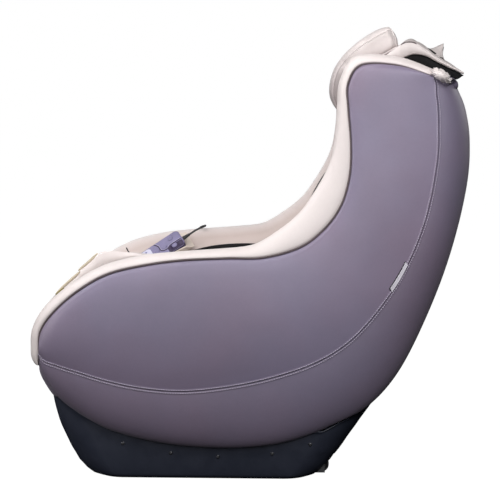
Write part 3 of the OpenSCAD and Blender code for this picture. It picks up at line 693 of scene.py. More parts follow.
def make_gusset():
    """The cover behind the seams, round the back, the underside and the lower front."""
    stations = np.concatenate([np.linspace(0, 1, 10)[:-1], np.linspace(1, S_END, 190)])
    rows, heights, seam_shades = [], [], []
    for s in stations:
        width = side_widths(s)[1]
        start = np.minimum(NEAR_EDGE, width * NEAR_SHARE)
        turn = np.linspace(math.asin(start[-1] / width), math.pi / 2, 18)[1:]
        past = np.concatenate([np.maximum(start / width, GUSSET_START), np.sin(turn)])
        q = np.concatenate([1 + past, np.linspace(2, 3, REAR_COUNT + 1)[1:]])
        rows.append(skin(s, q))
        place = np.concatenate([past * width, np.full(REAR_COUNT, width)])
        heights.append(welt(place) * min(1, width / 30) * (place < 20))
        # painted shade along the seam
        seam_shades.append(0.3 * bell(place, 1.0) * (place < 20))
    face, height, fold = np.array(rows), np.array(heights), np.array(seam_shades)
    normal = grid_normals(face)
    normal *= np.sign(np.sum(normal[..., 0]))
    deep = face - normal * COVER_T
    height = height + 0.8 * wave(face, 150, 3) * np.clip(np.arange(face.shape[1]) / 14, 0, 1)
    face = face + normal * height[..., None]
    flip = np.array([-1, 1, 1])
    whole = np.concatenate([face, (face * flip)[:, -2::-1]], axis=1)
    under = np.concatenate([deep, (deep * flip)[:, -2::-1]], axis=1)
    gusset = loft("gusset", np.concatenate([whole, under[:, ::-1]], axis=1))
    side_seam_shade = np.concatenate([fold, fold[:, -2::-1]], axis=1)
    give_painted_shade(gusset, np.concatenate([side_seam_shade, np.zeros_like(side_seam_shade)], axis=1))
    hole = [tub_point(circle(72), GUSSET_HOLE_AT) * [1.004, 1, 0] + [0, 0, z] for z in (-10, 230)]
    cut(gusset, loft("hole", hole))
    gusset.data.shade_smooth()
    # painted shade: the gusset gets the darkened grey leather
    finish_piece(gusset, "grey_leather_shaded", "rear_cover", slot="grey_leather")


def rim_line(s, places):
    """Points of the left rim round its section: place 4 is its crest, 8 the foot of its inner wall."""
    r = along(STATIONS, s)
    rise = (r[4:6] - r[0:2]) * (1 - NOSE_TUCK * nose_tuck(s))
    h = np.linalg.norm(rise)
    wall = rim_wall(s)
    section = np.array([
        [9, 2], [7, 0.3 * h], [12, 0.62 * h], [21, 0.88 * h], [RIM_CREST_IN, h], [46, h - 3],
        [60, h - 13], [wall - 10, h - 28], [wall, h - 46], [wall - 3, h - 56], [54, h - 54],
        [40, min(h - 54, 0)], [30, min(-6, h - 54)], [28, 2]])
    wrapped = np.concatenate([section[-2:], section, section[:3]])
    smooth = along(wrapped, 2 + np.asarray(places, float))
    return at_x(BODY_HALF + r[6] - smooth[..., 0], r[0:2] + rise / h * smooth[..., 1:2])


def rounded_ends(rings, reach, shrink=0.3):
    """Adds rings that close both ends of a loft with a rounded shoulder."""
    def end(ring, inner):
        middle = ring.mean(axis=0)
        out = unit(middle - inner.mean(axis=0))
        return [middle + (ring - middle) * (1 - shrink * (1 - math.cos(a))) + out * reach * math.sin(a)
                for a in (math.pi / 2, math.pi / 3, math.pi / 6)]
    head = end(rings[0], rings[1])
    tail = end(rings[-1], rings[-2])[::-1]
    return np.concatenate([head, rings, tail])


def make_rims():
    """The padded rims on both sides of the seat and back."""
    stations = np.linspace(0.02, S_END - 0.2, 230)
    places = np.linspace(0, RIM_CORNERS, RIM_SIDES, endpoint=False)
    rings = np.array([rim_line(s, places) for s in stations])
    normal = ring_normals(rings)
    bend = np.clip(1 - np.abs(stations - 10.2) / 3, 0, 1)[:, None]
    pucker = np.sin(stations * 19 + 2 * np.sin(stations * 5))[:, None]
    around = np.arange(RIM_SIDES)
    before_foot = np.clip((52 - around) / 8, 0, 1)
    inward = np.clip((around - 16) / 10, 0, 1) * before_foot
    height = 0.9 * wave(rings, 120, 5) + 0.3 * wave(rings, 34, 6) + 0.7 * bend * pucker * inward
    rings = rounded_ends(rings + normal * height[..., None], 5)
    rim = loft("rim_left_pad", rings)
    # painted shade on the rims' inner walls, which lie in shade beside the pads
    shade = 0.6 * np.clip((around - 22) / 8, 0, 1) * before_foot
    give_painted_shade(rim, np.tile(shade, (len(rings), 1)))
    finish_pair(rim, "cream_leather", "rim_left")


def between_rims(stations, lip):
    """The leather between the rims, whose long edges turn down by lip."""
    s = stations[:, None]
    share = np.sin(np.linspace(-math.pi / 2, math.pi / 2, 61))
    drop = pad_drop(s, share) + lip * bell(1 - np.abs(share), 0.012) + TUCK_DROP * nose_tuck(s)
    return channel(s + 0 * share, (half_width(s) - rim_wall(s) - RIM_GAP) * share, drop)


def make_apron():
    """The leather between the rims over the front of the seat and down the nose."""
    face = between_rims(np.linspace(0.12, 4.65, 120), 5)
    face = face + grid_normals(face) * (0.8 * wave(face, 90, 8))[..., None]
    apron = thick_sheet("apron", face, 22, 0.1)
    # painted shade: the apron gets the darker cream
    finish_piece(apron, "cream_painted_shade", "front_apron", slot="cream_leather")


def make_crest():
    """The leather between the rims over the top of the back."""
    crest = thick_sheet("crest", between_rims(np.linspace(16.5, S_END - 0.2, 70), 4), 14, 0.1)
    finish_piece(crest, "cream_leather", "crest_panel")


def seam_rows():
    """The two rows of stitches beside the seam, a little way into the panel and the gusset."""
    stations = np.linspace(1.0, S_END - 0.5, 400)
    lines = []
    for offset, width in zip((-STITCH_OFFSET, STITCH_OFFSET), side_widths(stations)):
        q = 1 + offset / width
        path = skin(stations, q)
        step = 0.01
        across = skin(stations, q + step) - skin(stations, q - step)
        ahead = np.gradient(path, axis=0)
        normal = unit(np.cross(ahead, across))
        normal *= np.sign(normal[:, :1])
        lines.append((path + normal * STITCH_LIFT, normal))
    return lines


def make_stitching():
    left = stitches("seam_stitches_left", seam_rows())
    finish_pair(left, "grey_thread", slot="grey_leather")


# ---- Padded pieces, blown up by a cloth simulation ----

def inflate(obj, voxel, cap, pressure, still=None):
    """Remeshes a closed form and lets cloth under pressure round it. No point moves past cap
    metres, and the points where still() is true stay."""
    remesh = obj.modifiers.new("remesh", "REMESH")
    remesh.mode = "VOXEL"
    remesh.voxel_size = voxel
    apply_modifiers(obj)
    count = len(obj.data.vertices)
    start = np.empty(count * 3)
    obj.data.vertices.foreach_get("co", start)
    start = start.reshape(-1, 3)
    cloth_mod = obj.modifiers.new("cloth", "CLOTH")
    if still is not None:
        group = obj.vertex_groups.new(name="held")
        group.add(np.nonzero(still(start))[0].tolist(), 1.0, "REPLACE")
        cloth_mod.settings.vertex_group_mass = "held"
    cloth_mod.settings.quality = 4
    cloth_mod.settings.mass = 0.3
    cloth_mod.settings.use_pressure = True
    cloth_mod.settings.uniform_pressure_force = pressure
    cloth_mod.settings.effector_weights.gravity = 0
    cloth_mod.collision_settings.use_collision = False
    scene = bpy.context.scene
    for step in range(1, 21):
        scene.frame_set(step)
    evaluated = obj.evaluated_get(bpy.context.evaluated_depsgraph_get())
    moved = np.empty(count * 3)
    evaluated.data.vertices.foreach_get("co", moved)
    move = moved.reshape(-1, 3) - start
    far = np.linalg.norm(move, axis=1, keepdims=True)
    start = start + move * np.minimum(1, cap / np.maximum(far, 1e-9))
    obj.modifiers.clear()
    obj.vertex_groups.clear()
    scene.frame_set(1)
    obj.data.vertices.foreach_set("co", start.ravel())
    smooth = obj.modifiers.new("smooth", "SMOOTH")
    smooth.iterations = 4
    divide = obj.modifiers.new("divide", "SUBSURF")
    divide.levels = 1
    apply_modifiers(obj)
    obj.data.shade_smooth()
    return obj


def carve(obj, depth_at, painted_shade_at):
    """Presses each point of obj in along its normal by depth_at metres, and stores the values of the second
    function there as painted shade.
    """
    count = len(obj.data.vertices)
    points, normals = np.empty(count * 3), np.empty(count * 3)
    obj.data.vertices.foreach_get("co", points)
    obj.data.vertices.foreach_get("normal", normals)
    points, normals = points.reshape(-1, 3), normals.reshape(-1, 3)
    depth = depth_at(points, normals)
    give_painted_shade(obj, painted_shade_at(points, normals))
    obj.data.vertices.foreach_set("co", (points - normals * depth[:, None]).ravel())
    obj.data.update()


PAD_INSET = 3          # how far the plain forms stay inside the pads' sides and faces
PAD_SINK = 8
PAD_VOXEL = 0.006
PAD_CAP = 0.011
PRESSURE = 5


def pad_form(name, stations, right):
    """The plain closed form of a pad, a little smaller than it ends up. right gives its right side."""
    share = np.linspace(-1, 1, 25)
    rows = []
    for s in stations:
        a, b = pad_left(s) - PAD_INSET, right(s) + PAD_INSET
        x = (a + b) / 2 + (a - b) / 2 * share
        rows.append(channel(np.full(25, s), x, pad_drop(s, np.abs(share)) + PAD_SINK))
    face = np.array(rows)
    back = behind(face, PAD_BACK_R - 1)
    return loft(name, np.concatenate([face, back[:, ::-1]], axis=1))


def track_place(points):
    """Radius and angle in degrees about the track, in metres, of points."""
    y, z = points[:, 1] - TRACK[0] * MM, points[:, 2] - TRACK[1] * MM
    return np.hypot(y, z), np.degrees(np.arctan2(z, y))


CHANNEL_X = 0.118      # the long seams that divide each pad into three
CHANNEL_W = 0.0065
SEAT_CHANNELS = (-112, -99)                 # the cross channels, in degrees round the track
BACK_CHANNELS = (-66, -50, -34, -18, -3)


def on_back(points):
    return track_place(points)[0] > (PAD_BACK_R - 6) * MM


def on_back_or_underside(points):
    return on_back(points) | (points[:, 2] < (TRACK[1] - PAD_BACK_R + 6) * MM)


def make_pads():
    """The seat and back pads, with long seams and cross channels sewn into their faces."""
    seat = pad_form("seat_cushion", np.linspace(5.42, 9.12, 40), pad_right)
    inflate(seat, PAD_VOXEL, PAD_CAP, PRESSURE, on_back_or_underside)
    back = pad_form("back_cushion", np.linspace(9.42, 15.6, 60), lambda s: -pad_left(s))
    inflate(back, PAD_VOXEL, PAD_CAP, PRESSURE, on_back)
    for pad, stands_for, cross in ((seat, "seat_pad", SEAT_CHANNELS), (back, "back_pad", BACK_CHANNELS)):
        def depth(p, n):
            radius, angle = track_place(p)
            face = np.clip((PAD_BACK_R * MM - 0.02 - radius) / 0.01, 0, 1)
            arc = np.min([np.abs(angle - a) for a in cross], axis=0) * math.radians(1) * 0.33
            inside = np.clip((CHANNEL_X - np.abs(p[:, 0])) / 0.01, 0, 1)
            lines = 0.006 * bell(np.abs(p[:, 0]) - CHANNEL_X, CHANNEL_W)
            return face * (lines + 0.0045 * bell(arc, CHANNEL_W) * inside)
        # painted shade in the pads' channels, as deep as they are pressed in
        carve(pad, depth, lambda p, n: depth(p, n) / 0.008)
        finish_piece(pad, "cream_leather", stands_for)


PILLOW_FRONT = [
    (203, 822), (190, 850), (188, 880), (197, 917), (217, 950), (248, 981), (288, 1009), (334, 1034),
]
PILLOW_REAR = [
    (213, 826), (217, 850), (222, 878), (230, 912), (247, 938), (274, 952), (312, 958), (351, 980),
]
PILLOW_HALF = 196
PILLOW_SEAM_X = 193
PILLOW_VOXEL = 0.0055
PILLOW_CAP = 0.008
PIPING_SHARE = 0.76     # how far out on the pillow's thickness its piping runs


def pillow_ring(fat, x, count=30):
    """The pillow's outline in side view, thinned to a share of its full thickness."""
    s = 3.5 - 3.5 * np.cos(np.linspace(0, math.pi, count))
    front, rear = along(PILLOW_FRONT, s), along(PILLOW_REAR, s)
    middle = (front + rear) / 2
    inset = 0.5 + 0.5 * fat
    start = middle[count // 2]
    middle_line = start + (middle - start) * inset
    front, rear = middle_line + (front - middle) * fat, middle_line + (rear - middle) * fat
    tip = unit(middle_line[-1] - middle_line[-2]) * 5 * fat
    foot = unit(middle_line[0] - middle_line[1]) * 5 * fat
    low, high = (front[0] + rear[0]) / 2 + foot, (front[-1] + rear[-1]) / 2 + tip
    ring = np.concatenate([[low], front, [high], rear[::-1]])
    return at_x(np.full(len(ring), float(x)), ring)


def make_pillow():
    """The head pillow: a crescent cushion with a piped seam round each end."""
    turn = np.linspace(-math.pi / 2, math.pi / 2, 41)
    rings = [pillow_ring(0.9 * np.cos(a) ** 0.14 + 0.02, (PILLOW_HALF - 5) * np.sin(a)) for a in turn]
    pillow = loft("pillow", rings)
    inflate(pillow, PILLOW_VOXEL, PILLOW_CAP, PRESSURE)

    def depth(p, n):
        groove = 0.0022 * bell(np.abs(p[:, 0]) - PILLOW_SEAM_X * MM, 0.0022)
        return groove - 0.0008 * wave(p / MM, 70, 11) - 0.0004 * wave(p / MM, 22, 12)
    # painted shade along the pillow's seam grooves
    carve(pillow, depth, lambda p, n: bell(np.abs(p[:, 0]) - PILLOW_SEAM_X * MM, 0.002) * 0.8)
    finish_piece(pillow, "pillow_leather", "head_pillow", body="pillow")
    for side, name in ((1, "left"), (-1, "right")):
        ring = pillow_ring(PIPING_SHARE, side * (PILLOW_SEAM_X + 0.5), 60)
        piping = tube("pillow_piping_" + name, ring, 1.3, 8, closed=True)
        finish_piece(piping, "pillow_leather", body="pillow")


# ---- Loose leather ----

# A flap's lines at the left, middle and right of the chair, and how far its left side hangs down.
SEAT_UPPER = (
    [(-222, 506), (-254, 513), (-284, 515), (-305, 517), (-335, 512), (-357, 491), (-380, 472)],
    [(-225, 471), (-256, 476), (-288, 480), (-312, 482), (-338, 478), (-358, 469), (-378, 459)],
    [(-225, 468), (-256, 472), (-288, 474), (-312, 475), (-338, 472), (-358, 465), (-378, 455)],
)
SEAT_UPPER_HANG = [5, 14, 23, 31, 39, 31, 24]
SEAT_LOWER = (
    [(-325, 497), (-350, 487), (-374, 472), (-392, 456), (-412, 438), (-433, 418)],
    [(-325, 474), (-350, 469), (-374, 459), (-392, 450), (-412, 437), (-430, 424)],
    [(-325, 470), (-350, 466), (-374, 455), (-392, 446), (-412, 433), (-428, 420)],
)
SEAT_LOWER_HANG = [18, 22, 21, 16, 13, 10]
SEAT_FLAP_LEFT = 224
SEAT_FLAP_RIGHT = ([-430, -345, -322, -220], [-222, -222, -160, -160])  # its right side: x for each y


def across_flap(lines, u, share, curl_from):
    """A point of the surface through a flap's lines. It leaves the middle line past curl_from."""
    left, middle, right = (along(line, u) for line in lines)
    to_left = np.clip((share - 0.45) / 0.55, 0, 1)[..., None] ** 1.5
    to_right = np.clip((-share - curl_from) / (1 - curl_from), 0, 1)[..., None] ** 1.5
    return middle + (left - middle) * to_left + (right - middle) * to_right


def draped_flap(name, lines, left, right, hang, thick, crumple, seed, curl_from=0.2):
    """A leather sheet through its lines, its left side folded down by hang."""
    u = np.linspace(0, len(lines[0]) - 1, 64)[:, None]
    share = np.linspace(-1, 1, 61)[None, :]
    yz = across_flap(lines, u, share, curl_from)
    x_right = np.interp(yz[:, 0, 0], *right)[:, None] if isinstance(right, tuple) else right
    top = at_x(x_right + (left - x_right) * (share + 1) / 2, yz)
    free = np.clip(u / 2, 0, 1)
    top[..., 2] += crumple * (wave(top, 60, seed) + 0.45 * wave(top, 24, seed + 1)) * free
    fall = np.linspace(0, 1, 9)[1:]
    side = top[:, -1][:, None] + np.zeros((1, 8, 1))
    depth = along(np.array(hang, float)[:, None], u[:, 0])
    side[..., 0] += 4 * np.sin(np.pi * fall)[None] + 1.5 * wave(side, 16, seed + 2)
    side[..., 2] -= depth * fall[None]
    side[..., 1] += 1.4 * wave(side, 20, seed + 3) * fall[None]
    return thick_sheet(name, np.concatenate([top, side], axis=1), thick), top


def make_seat_flap():
    """The loose front end of the seat's leather: two layers with folded edges over the apron."""
    upper, face = draped_flap("seat_flap_upper", SEAT_UPPER, SEAT_FLAP_LEFT + 2, SEAT_FLAP_RIGHT,
                              SEAT_UPPER_HANG, 3.4, 1.6, 21)
    finish_piece(upper, "cream_leather", "seat_flap")
    hem_line("seat_flap_hem", face[-1], 2.1)
    edge_roll("seat_flap_edge", SEAT_UPPER[0][4:], (-4.5, -0.5), 3.4, "hem_leather")
    lower, face = draped_flap("seat_flap_lower", SEAT_LOWER, SEAT_FLAP_LEFT + 1, SEAT_FLAP_RIGHT,
                              SEAT_LOWER_HANG, 3.0, 1.2, 24)
    # painted shade: the lower layer gets the darker cream
    finish_piece(lower, "cream_painted_shade", slot="cream_leather")
    hem_line("seat_lower_hem", face[-1], 2.0)
    edge_roll("seat_lower_edge", SEAT_LOWER[0][2:], (-4.5, -1), 3.2, "hem_leather")
    # painted shade: a dark roll in the gap beneath the lower layer's edge
    edge_roll("seat_flap_gap_shade", SEAT_LOWER[0][4:], (-2, -7), 6.5, "flap_gap_shade")


def edge_roll(name, line, offset, radius, mat):
    """A roll along the left side of a flap, where its front falls: the bound edges, and the dark roll of
    painted shade beneath the lower layer.
    """
    path = along(line, np.linspace(0, len(line) - 1, 40)) + np.array(offset)
    taper = np.clip(10 * np.sin(np.linspace(0.05, math.pi - 0.05, 40)) ** 0.5 / 9, 0.3, 1)
    roll = tube(name, at_x(SEAT_FLAP_LEFT, path), radius * taper, 10)
    return finish_piece(roll, mat, slot="cream_leather")


def hem_line(name, edge, radius):
    """A rolled hem along the free end of a flap."""
    roll = tube(name, edge - [0, 0, radius * 0.8], radius, 10)
    return finish_piece(roll, "hem_leather", slot="cream_leather")


# ---- Crest flap and zip ----

FLAP_HALF = 228
CREST_FLAP = (
    [(309, 958), (330, 974), (349, 987), (373, 988), (398, 975), (424, 954), (453, 938), (484, 921)],
    [(340, 958), (354, 972), (369, 984), (385, 989), (402, 981), (424, 962), (452, 946), (480, 928)],
    [(345, 970), (357, 985), (372, 998), (388, 1001), (408, 988), (430, 977), (465, 989), (443, 968)],
)
CREST_FLAP_HANG = [8, 27, 35, 27, 17, 11, 8, 5]
CREST_LINING = (
    [(353, 950), (369, 944), (395, 933), (420, 922), (443, 908), (468, 905), (483, 914)],
    [(362, 972), (376, 978), (392, 974), (412, 958), (436, 940), (460, 928), (476, 924)],
    [(366, 988), (380, 991), (394, 985), (411, 968), (428, 956), (446, 957), (458, 975)],
)
CREST_CURL = 0.74
FLAP_SEAM = [(344, 982.5), (353, 987.5), (362, 988.5), (370, 988), (378, 985)]
LINING_FOLD = [(410, 977), (424, 973), (438, 964), (450, 954)]


def line_tube(name, line, x, radius, count, sides, mat):
    """A small piece of piping or a rolled fold: a tube through the points of a side view, at x."""
    path = along(line, np.linspace(0, len(line) - 1, count))
    return finish_piece(tube(name, at_x(x, path), radius, sides), mat, slot="cream_leather")


def make_crest_flap():
    """The loose leather flap over the crest, its side folded down over a black lining."""
    flap, _ = draped_flap("crest_flap_leather", CREST_FLAP, FLAP_HALF, -FLAP_HALF, CREST_FLAP_HANG,
                          2.6, 2.6, 31, CREST_CURL)
    # painted shade: the crest flap gets the darker cream
    finish_piece(flap, "cream_painted_shade", "crest_flap", slot="cream_leather")
    u = np.linspace(0, 6, 40)[:, None]
    share = np.linspace(-1, 1, 45)[None, :]
    x = (FLAP_HALF - 4) * share
    roof = at_x(x, across_flap([line[1:] for line in CREST_FLAP], u, share, CREST_CURL))
    roof[..., 2] += 2.6 * wave(roof, 60, 31) - 7.5
    under = at_x(x, across_flap(CREST_LINING, u, share, CREST_CURL))
    under[..., 2] = np.minimum(under[..., 2], roof[..., 2] - 2) + 0.8 * wave(under, 30, 36)
    lining = loft("crest_lining", np.concatenate([roof, under[:, ::-1]], axis=1))
    finish_piece(lining, "black_lining", slot="cream_leather")
    line_tube("crest_flap_seam", FLAP_SEAM, FLAP_HALF + 1.2, 1.1, 40, 8, "piping_leather")
    line_tube("crest_lining_fold", LINING_FOLD, -196.0, 5.0, 30, 12, "black_lining")


ZIP_Y = 462
ZIP_Z = 919.5
ZIP_HALF = 206
SLIDER_X = 196


def box_form(name, low, high, bevel=0.3):
    """A closed box with bevelled ends, for small hard details that are joined or cut in bulk."""
    low, high = np.array(low, float), np.array(high, float)
    tall = high[2] - low[2]
    rings = []
    for z, inset in ((0, bevel), (bevel, 0), (tall - bevel, 0), (tall, bevel)):
        (x0, y0), (x1, y1) = (low + inset)[:2], (high - inset)[:2]
        rings.append([(x, y, low[2] + z) for x, y in ((x0, y0), (x1, y0), (x1, y1), (x0, y1))])
    return loft(name, rings)


def joined(name, parts):
    """One object of several meshes, which keep their places."""
    points, faces = [], []
    for part in parts:
        base = len(points)
        points += [v.co[:] for v in part.data.vertices]
        faces += [tuple(base + i for i in polygon.vertices) for polygon in part.data.polygons]
        bpy.data.objects.remove(part)
    return mesh_object(name, points, faces, 1)


def make_zip():
    """The zip that closes the leather at the rear of the crest: tape, teeth, slider and puller."""
    x = np.linspace(-ZIP_HALF, ZIP_HALF, 90)
    droop = 7 * np.clip((np.abs(x) - 170) / 36, 0, 1) ** 2
    line = np.stack([x, ZIP_Y + 0 * x, ZIP_Z - droop], axis=1)
    wide = np.linspace(-8, 8, 7)
    face = line[:, None] + np.stack([0 * wide, wide, -0.012 * wide**2], axis=1)[None]
    face[..., 2] += 0.5 * wave(face, 26, 41)
    tape = thick_sheet("zip_tape", face, 1.1)
    finish_piece(tape, "zip", "zip_fastener")
    teeth = []
    for i, p in enumerate(spaced(line, 2.4)):
        shift = 1.1 if i % 2 else -1.1
        low = p + [-0.75, shift - 1.9, 0.2]
        teeth.append(box_form("tooth", low, low + [1.5, 3.8, 2.0]))
    chain = joined("zip_teeth", teeth)
    finish_piece(chain, "zip_teeth", slot="zip")
    at = np.array([SLIDER_X, ZIP_Y, ZIP_Z - 2])
    body = box_form("slider_body", at + [-5, -4.5, 0.5], at + [5, 4.5, 5.2], 0.9)
    turn = circle(40)
    loop = np.stack([at[0] + 12 + 9 * np.cos(turn), at[1] + 3.6 * np.sin(turn), at[2] + 3 + 0 * turn], axis=1)
    loop[:, 2] -= 0.022 * (loop[:, 0] - at[0]) ** 2
    slider = joined("zip_slider", [body, tube("puller", loop, 1.0, 8, closed=True)])
    finish_piece(slider, "zip_teeth", slot="zip")


GATHER_AT = (281, 431, 914)
GATHER_SIZE = (34, 25, 12.5)
GATHER_SLOPE = math.radians(-31)


def make_rim_ends():
    """The gathered leather that closes each rim beside the zip."""
    polar = np.linspace(0.06, math.pi - 0.06, 40)[:, None]
    turn = circle(72)[None, :]
    pleat = 1 + 0.10 * np.sin(9 * turn + 2.2 * np.sin(3 * polar)) * np.sin(polar) + 0.05 * np.sin(17 * turn)
    x = np.cos(polar) + 0 * turn
    y, z = np.sin(polar) * np.cos(turn) * pleat, np.sin(polar) * np.sin(turn) * pleat
    form = np.stack([x, y, z], axis=-1) * GATHER_SIZE
    c, s = math.cos(GATHER_SLOPE), math.sin(GATHER_SLOPE)
    form = form @ np.array([[1, 0, 0], [0, c, s], [0, -s, c]]) + GATHER_AT
    form += 1.6 * wave(form, 13, 71)[..., None] * [0.3, 1, 1]
    finish_pair(loft("rim_gather_left", form), "cream_leather")


# ---- Care label ----

LABEL_STATIONS = (13.14, 12.52)


def make_label():
    """The blank woven tape sewn into the seam, with a black tube along its free edge as a painted shadow."""
    rows = []
    for i, s in enumerate(np.linspace(*LABEL_STATIONS, 34)):
        away = np.linspace(0.5, 9.0 + 0.03 * i, 9)
        line = skin(s, 1 - away / side_widths(s)[0])
        line[:, 0] += 1.6 + 0.018 * away**2 + 0.5 * math.sin(i * 0.35)
        rows.append(line)
    rows = np.array(rows)
    label = thick_sheet("care_label_tape", rows, 0.9)
    finish_piece(label, "label_tape", "care_label")
    edge = rows[:, -1] + 1.1 * unit(rows[:, -1] - rows[:, 0]) - [0.9, 0, 0]
    corner = edge[-1] + 1.3 * unit(edge[-1] - edge[-5])
    end = corner + (rows[-1, 4] - rows[-1, -1]) * np.linspace(0, 1, 5)[:, None]
    # painted shadow: a black tube under the lifted label's free edge and end
    label_shadow = tube("care_label_edge", np.concatenate([edge, end]), 1.3, 8)
    finish_piece(label_shadow, "black_lining", slot="label_tape")


# ---- Black sheets of painted shade between the rims and the pads ----

GAP_SHADE_SHEETS = [("seat", 6.55, 8.75, 7.66), ("back", 10.15, 13.3, 5.95)]  # name, stations, upper place
SHADE_SHEET_FOOT = 8.9         # the place round the rim where the black sheet starts


def make_gap_shade_sheets():
    """Lens-shaped black sheets low on the rims' inner walls, beside the pads: painted shade in the gaps
    there.
    """
    for where, start, end, high in GAP_SHADE_SHEETS:
        rows = []
        for t in np.linspace(0.02, 0.98, 60):
            top = SHADE_SHEET_FOOT - (SHADE_SHEET_FOOT - high) * math.sin(math.pi * t) ** 0.6
            rows.append(rim_line(start + (end - start) * t, np.linspace(SHADE_SHEET_FOOT, top, 16)))
        face = np.array(rows)
        normal = grid_normals(face)
        normal *= -np.sign(np.sum(normal[..., 0]))
        face = face + normal * (2.0 + 0.3 * wave(face, 40, 51))[..., None]
        left = loft("gap_mesh_left_" + where, np.concatenate([face, (face - normal * 1.4)[:, ::-1]], axis=1))
        finish_pair(left, "black_lining", slot="cream_leather")


def make_groove_shade_strips():
    """Dark strips of piping leather in the groove where each side panel meets its rim, painted shade for the
    groove's shadow.
    """
    r = along(STATIONS, np.linspace(0.3, S_END - 0.45, 260))
    path = at_x(BODY_HALF + r[:, 6] - 8.6, r[:, 0:2] + unit(r[:, 4:6] - r[:, 0:2]) * 0.6)
    for side, name in ((1, "left"), (-1, "right")):
        # painted shade: a dark tube along the groove between panel and rim
        piping = tube("groove_shade_strip_" + name, path * [side, 1, 1], 2.1, 8)
        finish_piece(piping, "piping_leather", slot="grey_leather")


# ---- Base ----

EDGE = along(STATIONS, np.linspace(2.2, 11.9, 400))
EDGE = EDGE[:, 2:4] + unit(EDGE[:, 2:4] - EDGE[:, 0:2]) * BASE_GAP
TUB_CEILING = 183
TUB_WALL = 4
WHEEL_AT = (206, 169, 27)
SCREW_Y = (-280, -171, -64, 59, 145)
SCREW_DROP = 15


def tub_top(angle):
    """Height of the base's wall, angle by angle: it follows the covers' lower edge."""
    z = np.full_like(angle, 120.0)
    for _ in range(12):
        y = tub_point(angle, z)[..., 1]
        z = np.minimum(TUB_CEILING, 0.5 * z + 0.5 * np.interp(y, EDGE[:, 0], EDGE[:, 1]))
    y = tub_point(angle, z)[..., 1]
    return z + 12 * np.clip((-250 - y) / 90, 0, 1) + 13 * np.clip((y - 120) / 80, 0, 1)


def make_base():
    """The moulded base: a tapering tub with a rolled lip under the covers."""
    angle = circle(200)
    angle = angle + 0.12 * np.sin(4 * angle)
    top = tub_top(angle)
    rings = [tub_point(angle, np.minimum(top - 9, z)) for z in (0, 1.2, 3, 6, 10, 16, 24, 34, 48)]
    rings += [tub_point(angle, 48 + (top - 9 - 48) * t) for t in np.linspace(0.12, 1, 9)]
    for below, inset in ((7.0, -0.4), (5.5, -1.9), (3.2, -2.4), (1.2, -1.9), (0, -0.3), (0, 1.6), (1.5, 3.2)):
        rings.append(tub_point(angle, top - below, inset))
    rings += [tub_point(angle, 40 + (top - 46) * t, TUB_WALL) for t in (1, 0.6, 0.3, 0)]
    rings += [tub_point(angle, np.full_like(angle, z), TUB_WALL + 4) for z in (14, 5)]
    tub = loft("base_shell", rings)
    for side in (1, -1):
        x = side * WHEEL_AT[0]
        cut(tub, box_form("slot", (x - 17, 142, -4), (x + 17, 230, 52), 2.5))
    cut(tub, box_form("window", (-152, 150, 44), (-88, 262, 94), 0.5))
    mark_sharp(tub, 40)
    finish_piece(tub, "base_plastic", "base_tub")


def mark_sharp(obj, degrees):
    """Keeps edges sharper than an angle crisp on a smooth-shaded object."""
    mesh = obj.data
    mesh.shade_smooth()
    bm = bmesh.new()
    bm.from_mesh(mesh)
    for edge in bm.edges:
        edge.smooth = edge.calc_face_angle(math.pi) < math.radians(degrees)
    bm.to_mesh(mesh)
    bm.free()


def screw_head(side, y):
    """A domed screw head with a cross recess, on the base's side wall."""
    z = np.interp(y, EDGE[:, 0], EDGE[:, 1]) - SCREW_DROP
    x = tub_point(0.0, z)[0]
    radii = np.array([0.01, 0.35, 0.7, 1.05, 1.4, 1.75, 2.1, 2.5, 3.0, 3.4, 3.75, 4.0, 4.0])
    turn = circle(48)
    rings = []
    for i, r in enumerate(radii):
        u, v = r * np.cos(turn), r * np.sin(turn)
        arm = np.minimum(np.abs(u), np.abs(v)) < 0.45
        recess = 1.2 * (arm & (r < 2.2))
        proud = 2.6 * math.sqrt(max(0, 1 - (r / 4.35) ** 2)) + 0.2 if i < len(radii) - 1 else -0.6
        rings.append(np.stack([x + proud - recess, y + u, z + v], axis=-1))
    return loft("screw", np.array(rings) * [side, 1, 1])


def make_screws():
    heads = [screw_head(side, y) for side in (1, -1) for y in SCREW_Y]
    screws = joined("base_screw_heads", heads)
    finish_piece(screws, "screw_steel", "base_screws")


def lathe_x(name, profile, centre):
    """A closed solid of revolution about a line along X. profile holds (x, radius)."""
    turn = circle(64)
    rings = [[(centre[0] + x, centre[1] + r * math.cos(a), centre[2] + r * math.sin(a)) for a in turn]
             for x, r in profile]
    return loft(name, rings)


def make_wheels():
    """The transport wheels: a ribbed tread on a dished hub, on its axle."""
    half = [(16.5, 0.4), (16.5, 3.4), (15.9, 4), (11.6, 4), (11.3, 5.5), (9.8, 6.2), (7.2, 8.2), (7.0, 11.5),
            (8.6, 13.4), (10.2, 14.2), (10.8, 15.2), (10.4, 16.6), (8.8, 17.6), (6.4, 18), (5.2, 18),
            (4.7, 17.3), (4.2, 18), (0.9, 18), (0.4, 17.3)]
    profile = [(-x, r) for x, r in half] + [(x, r) for x, r in half[::-1]]
    for side, name in ((1, "left"), (-1, "right")):
        wheel = lathe_x("wheel_tread_" + name, profile, WHEEL_AT * np.array([side, 1, 1]))
        mark_sharp(wheel, 50)
        finish_piece(wheel, "wheel_plastic", "transport_wheel_" + name, body="wheel_" + name)


# ---- Handset ----

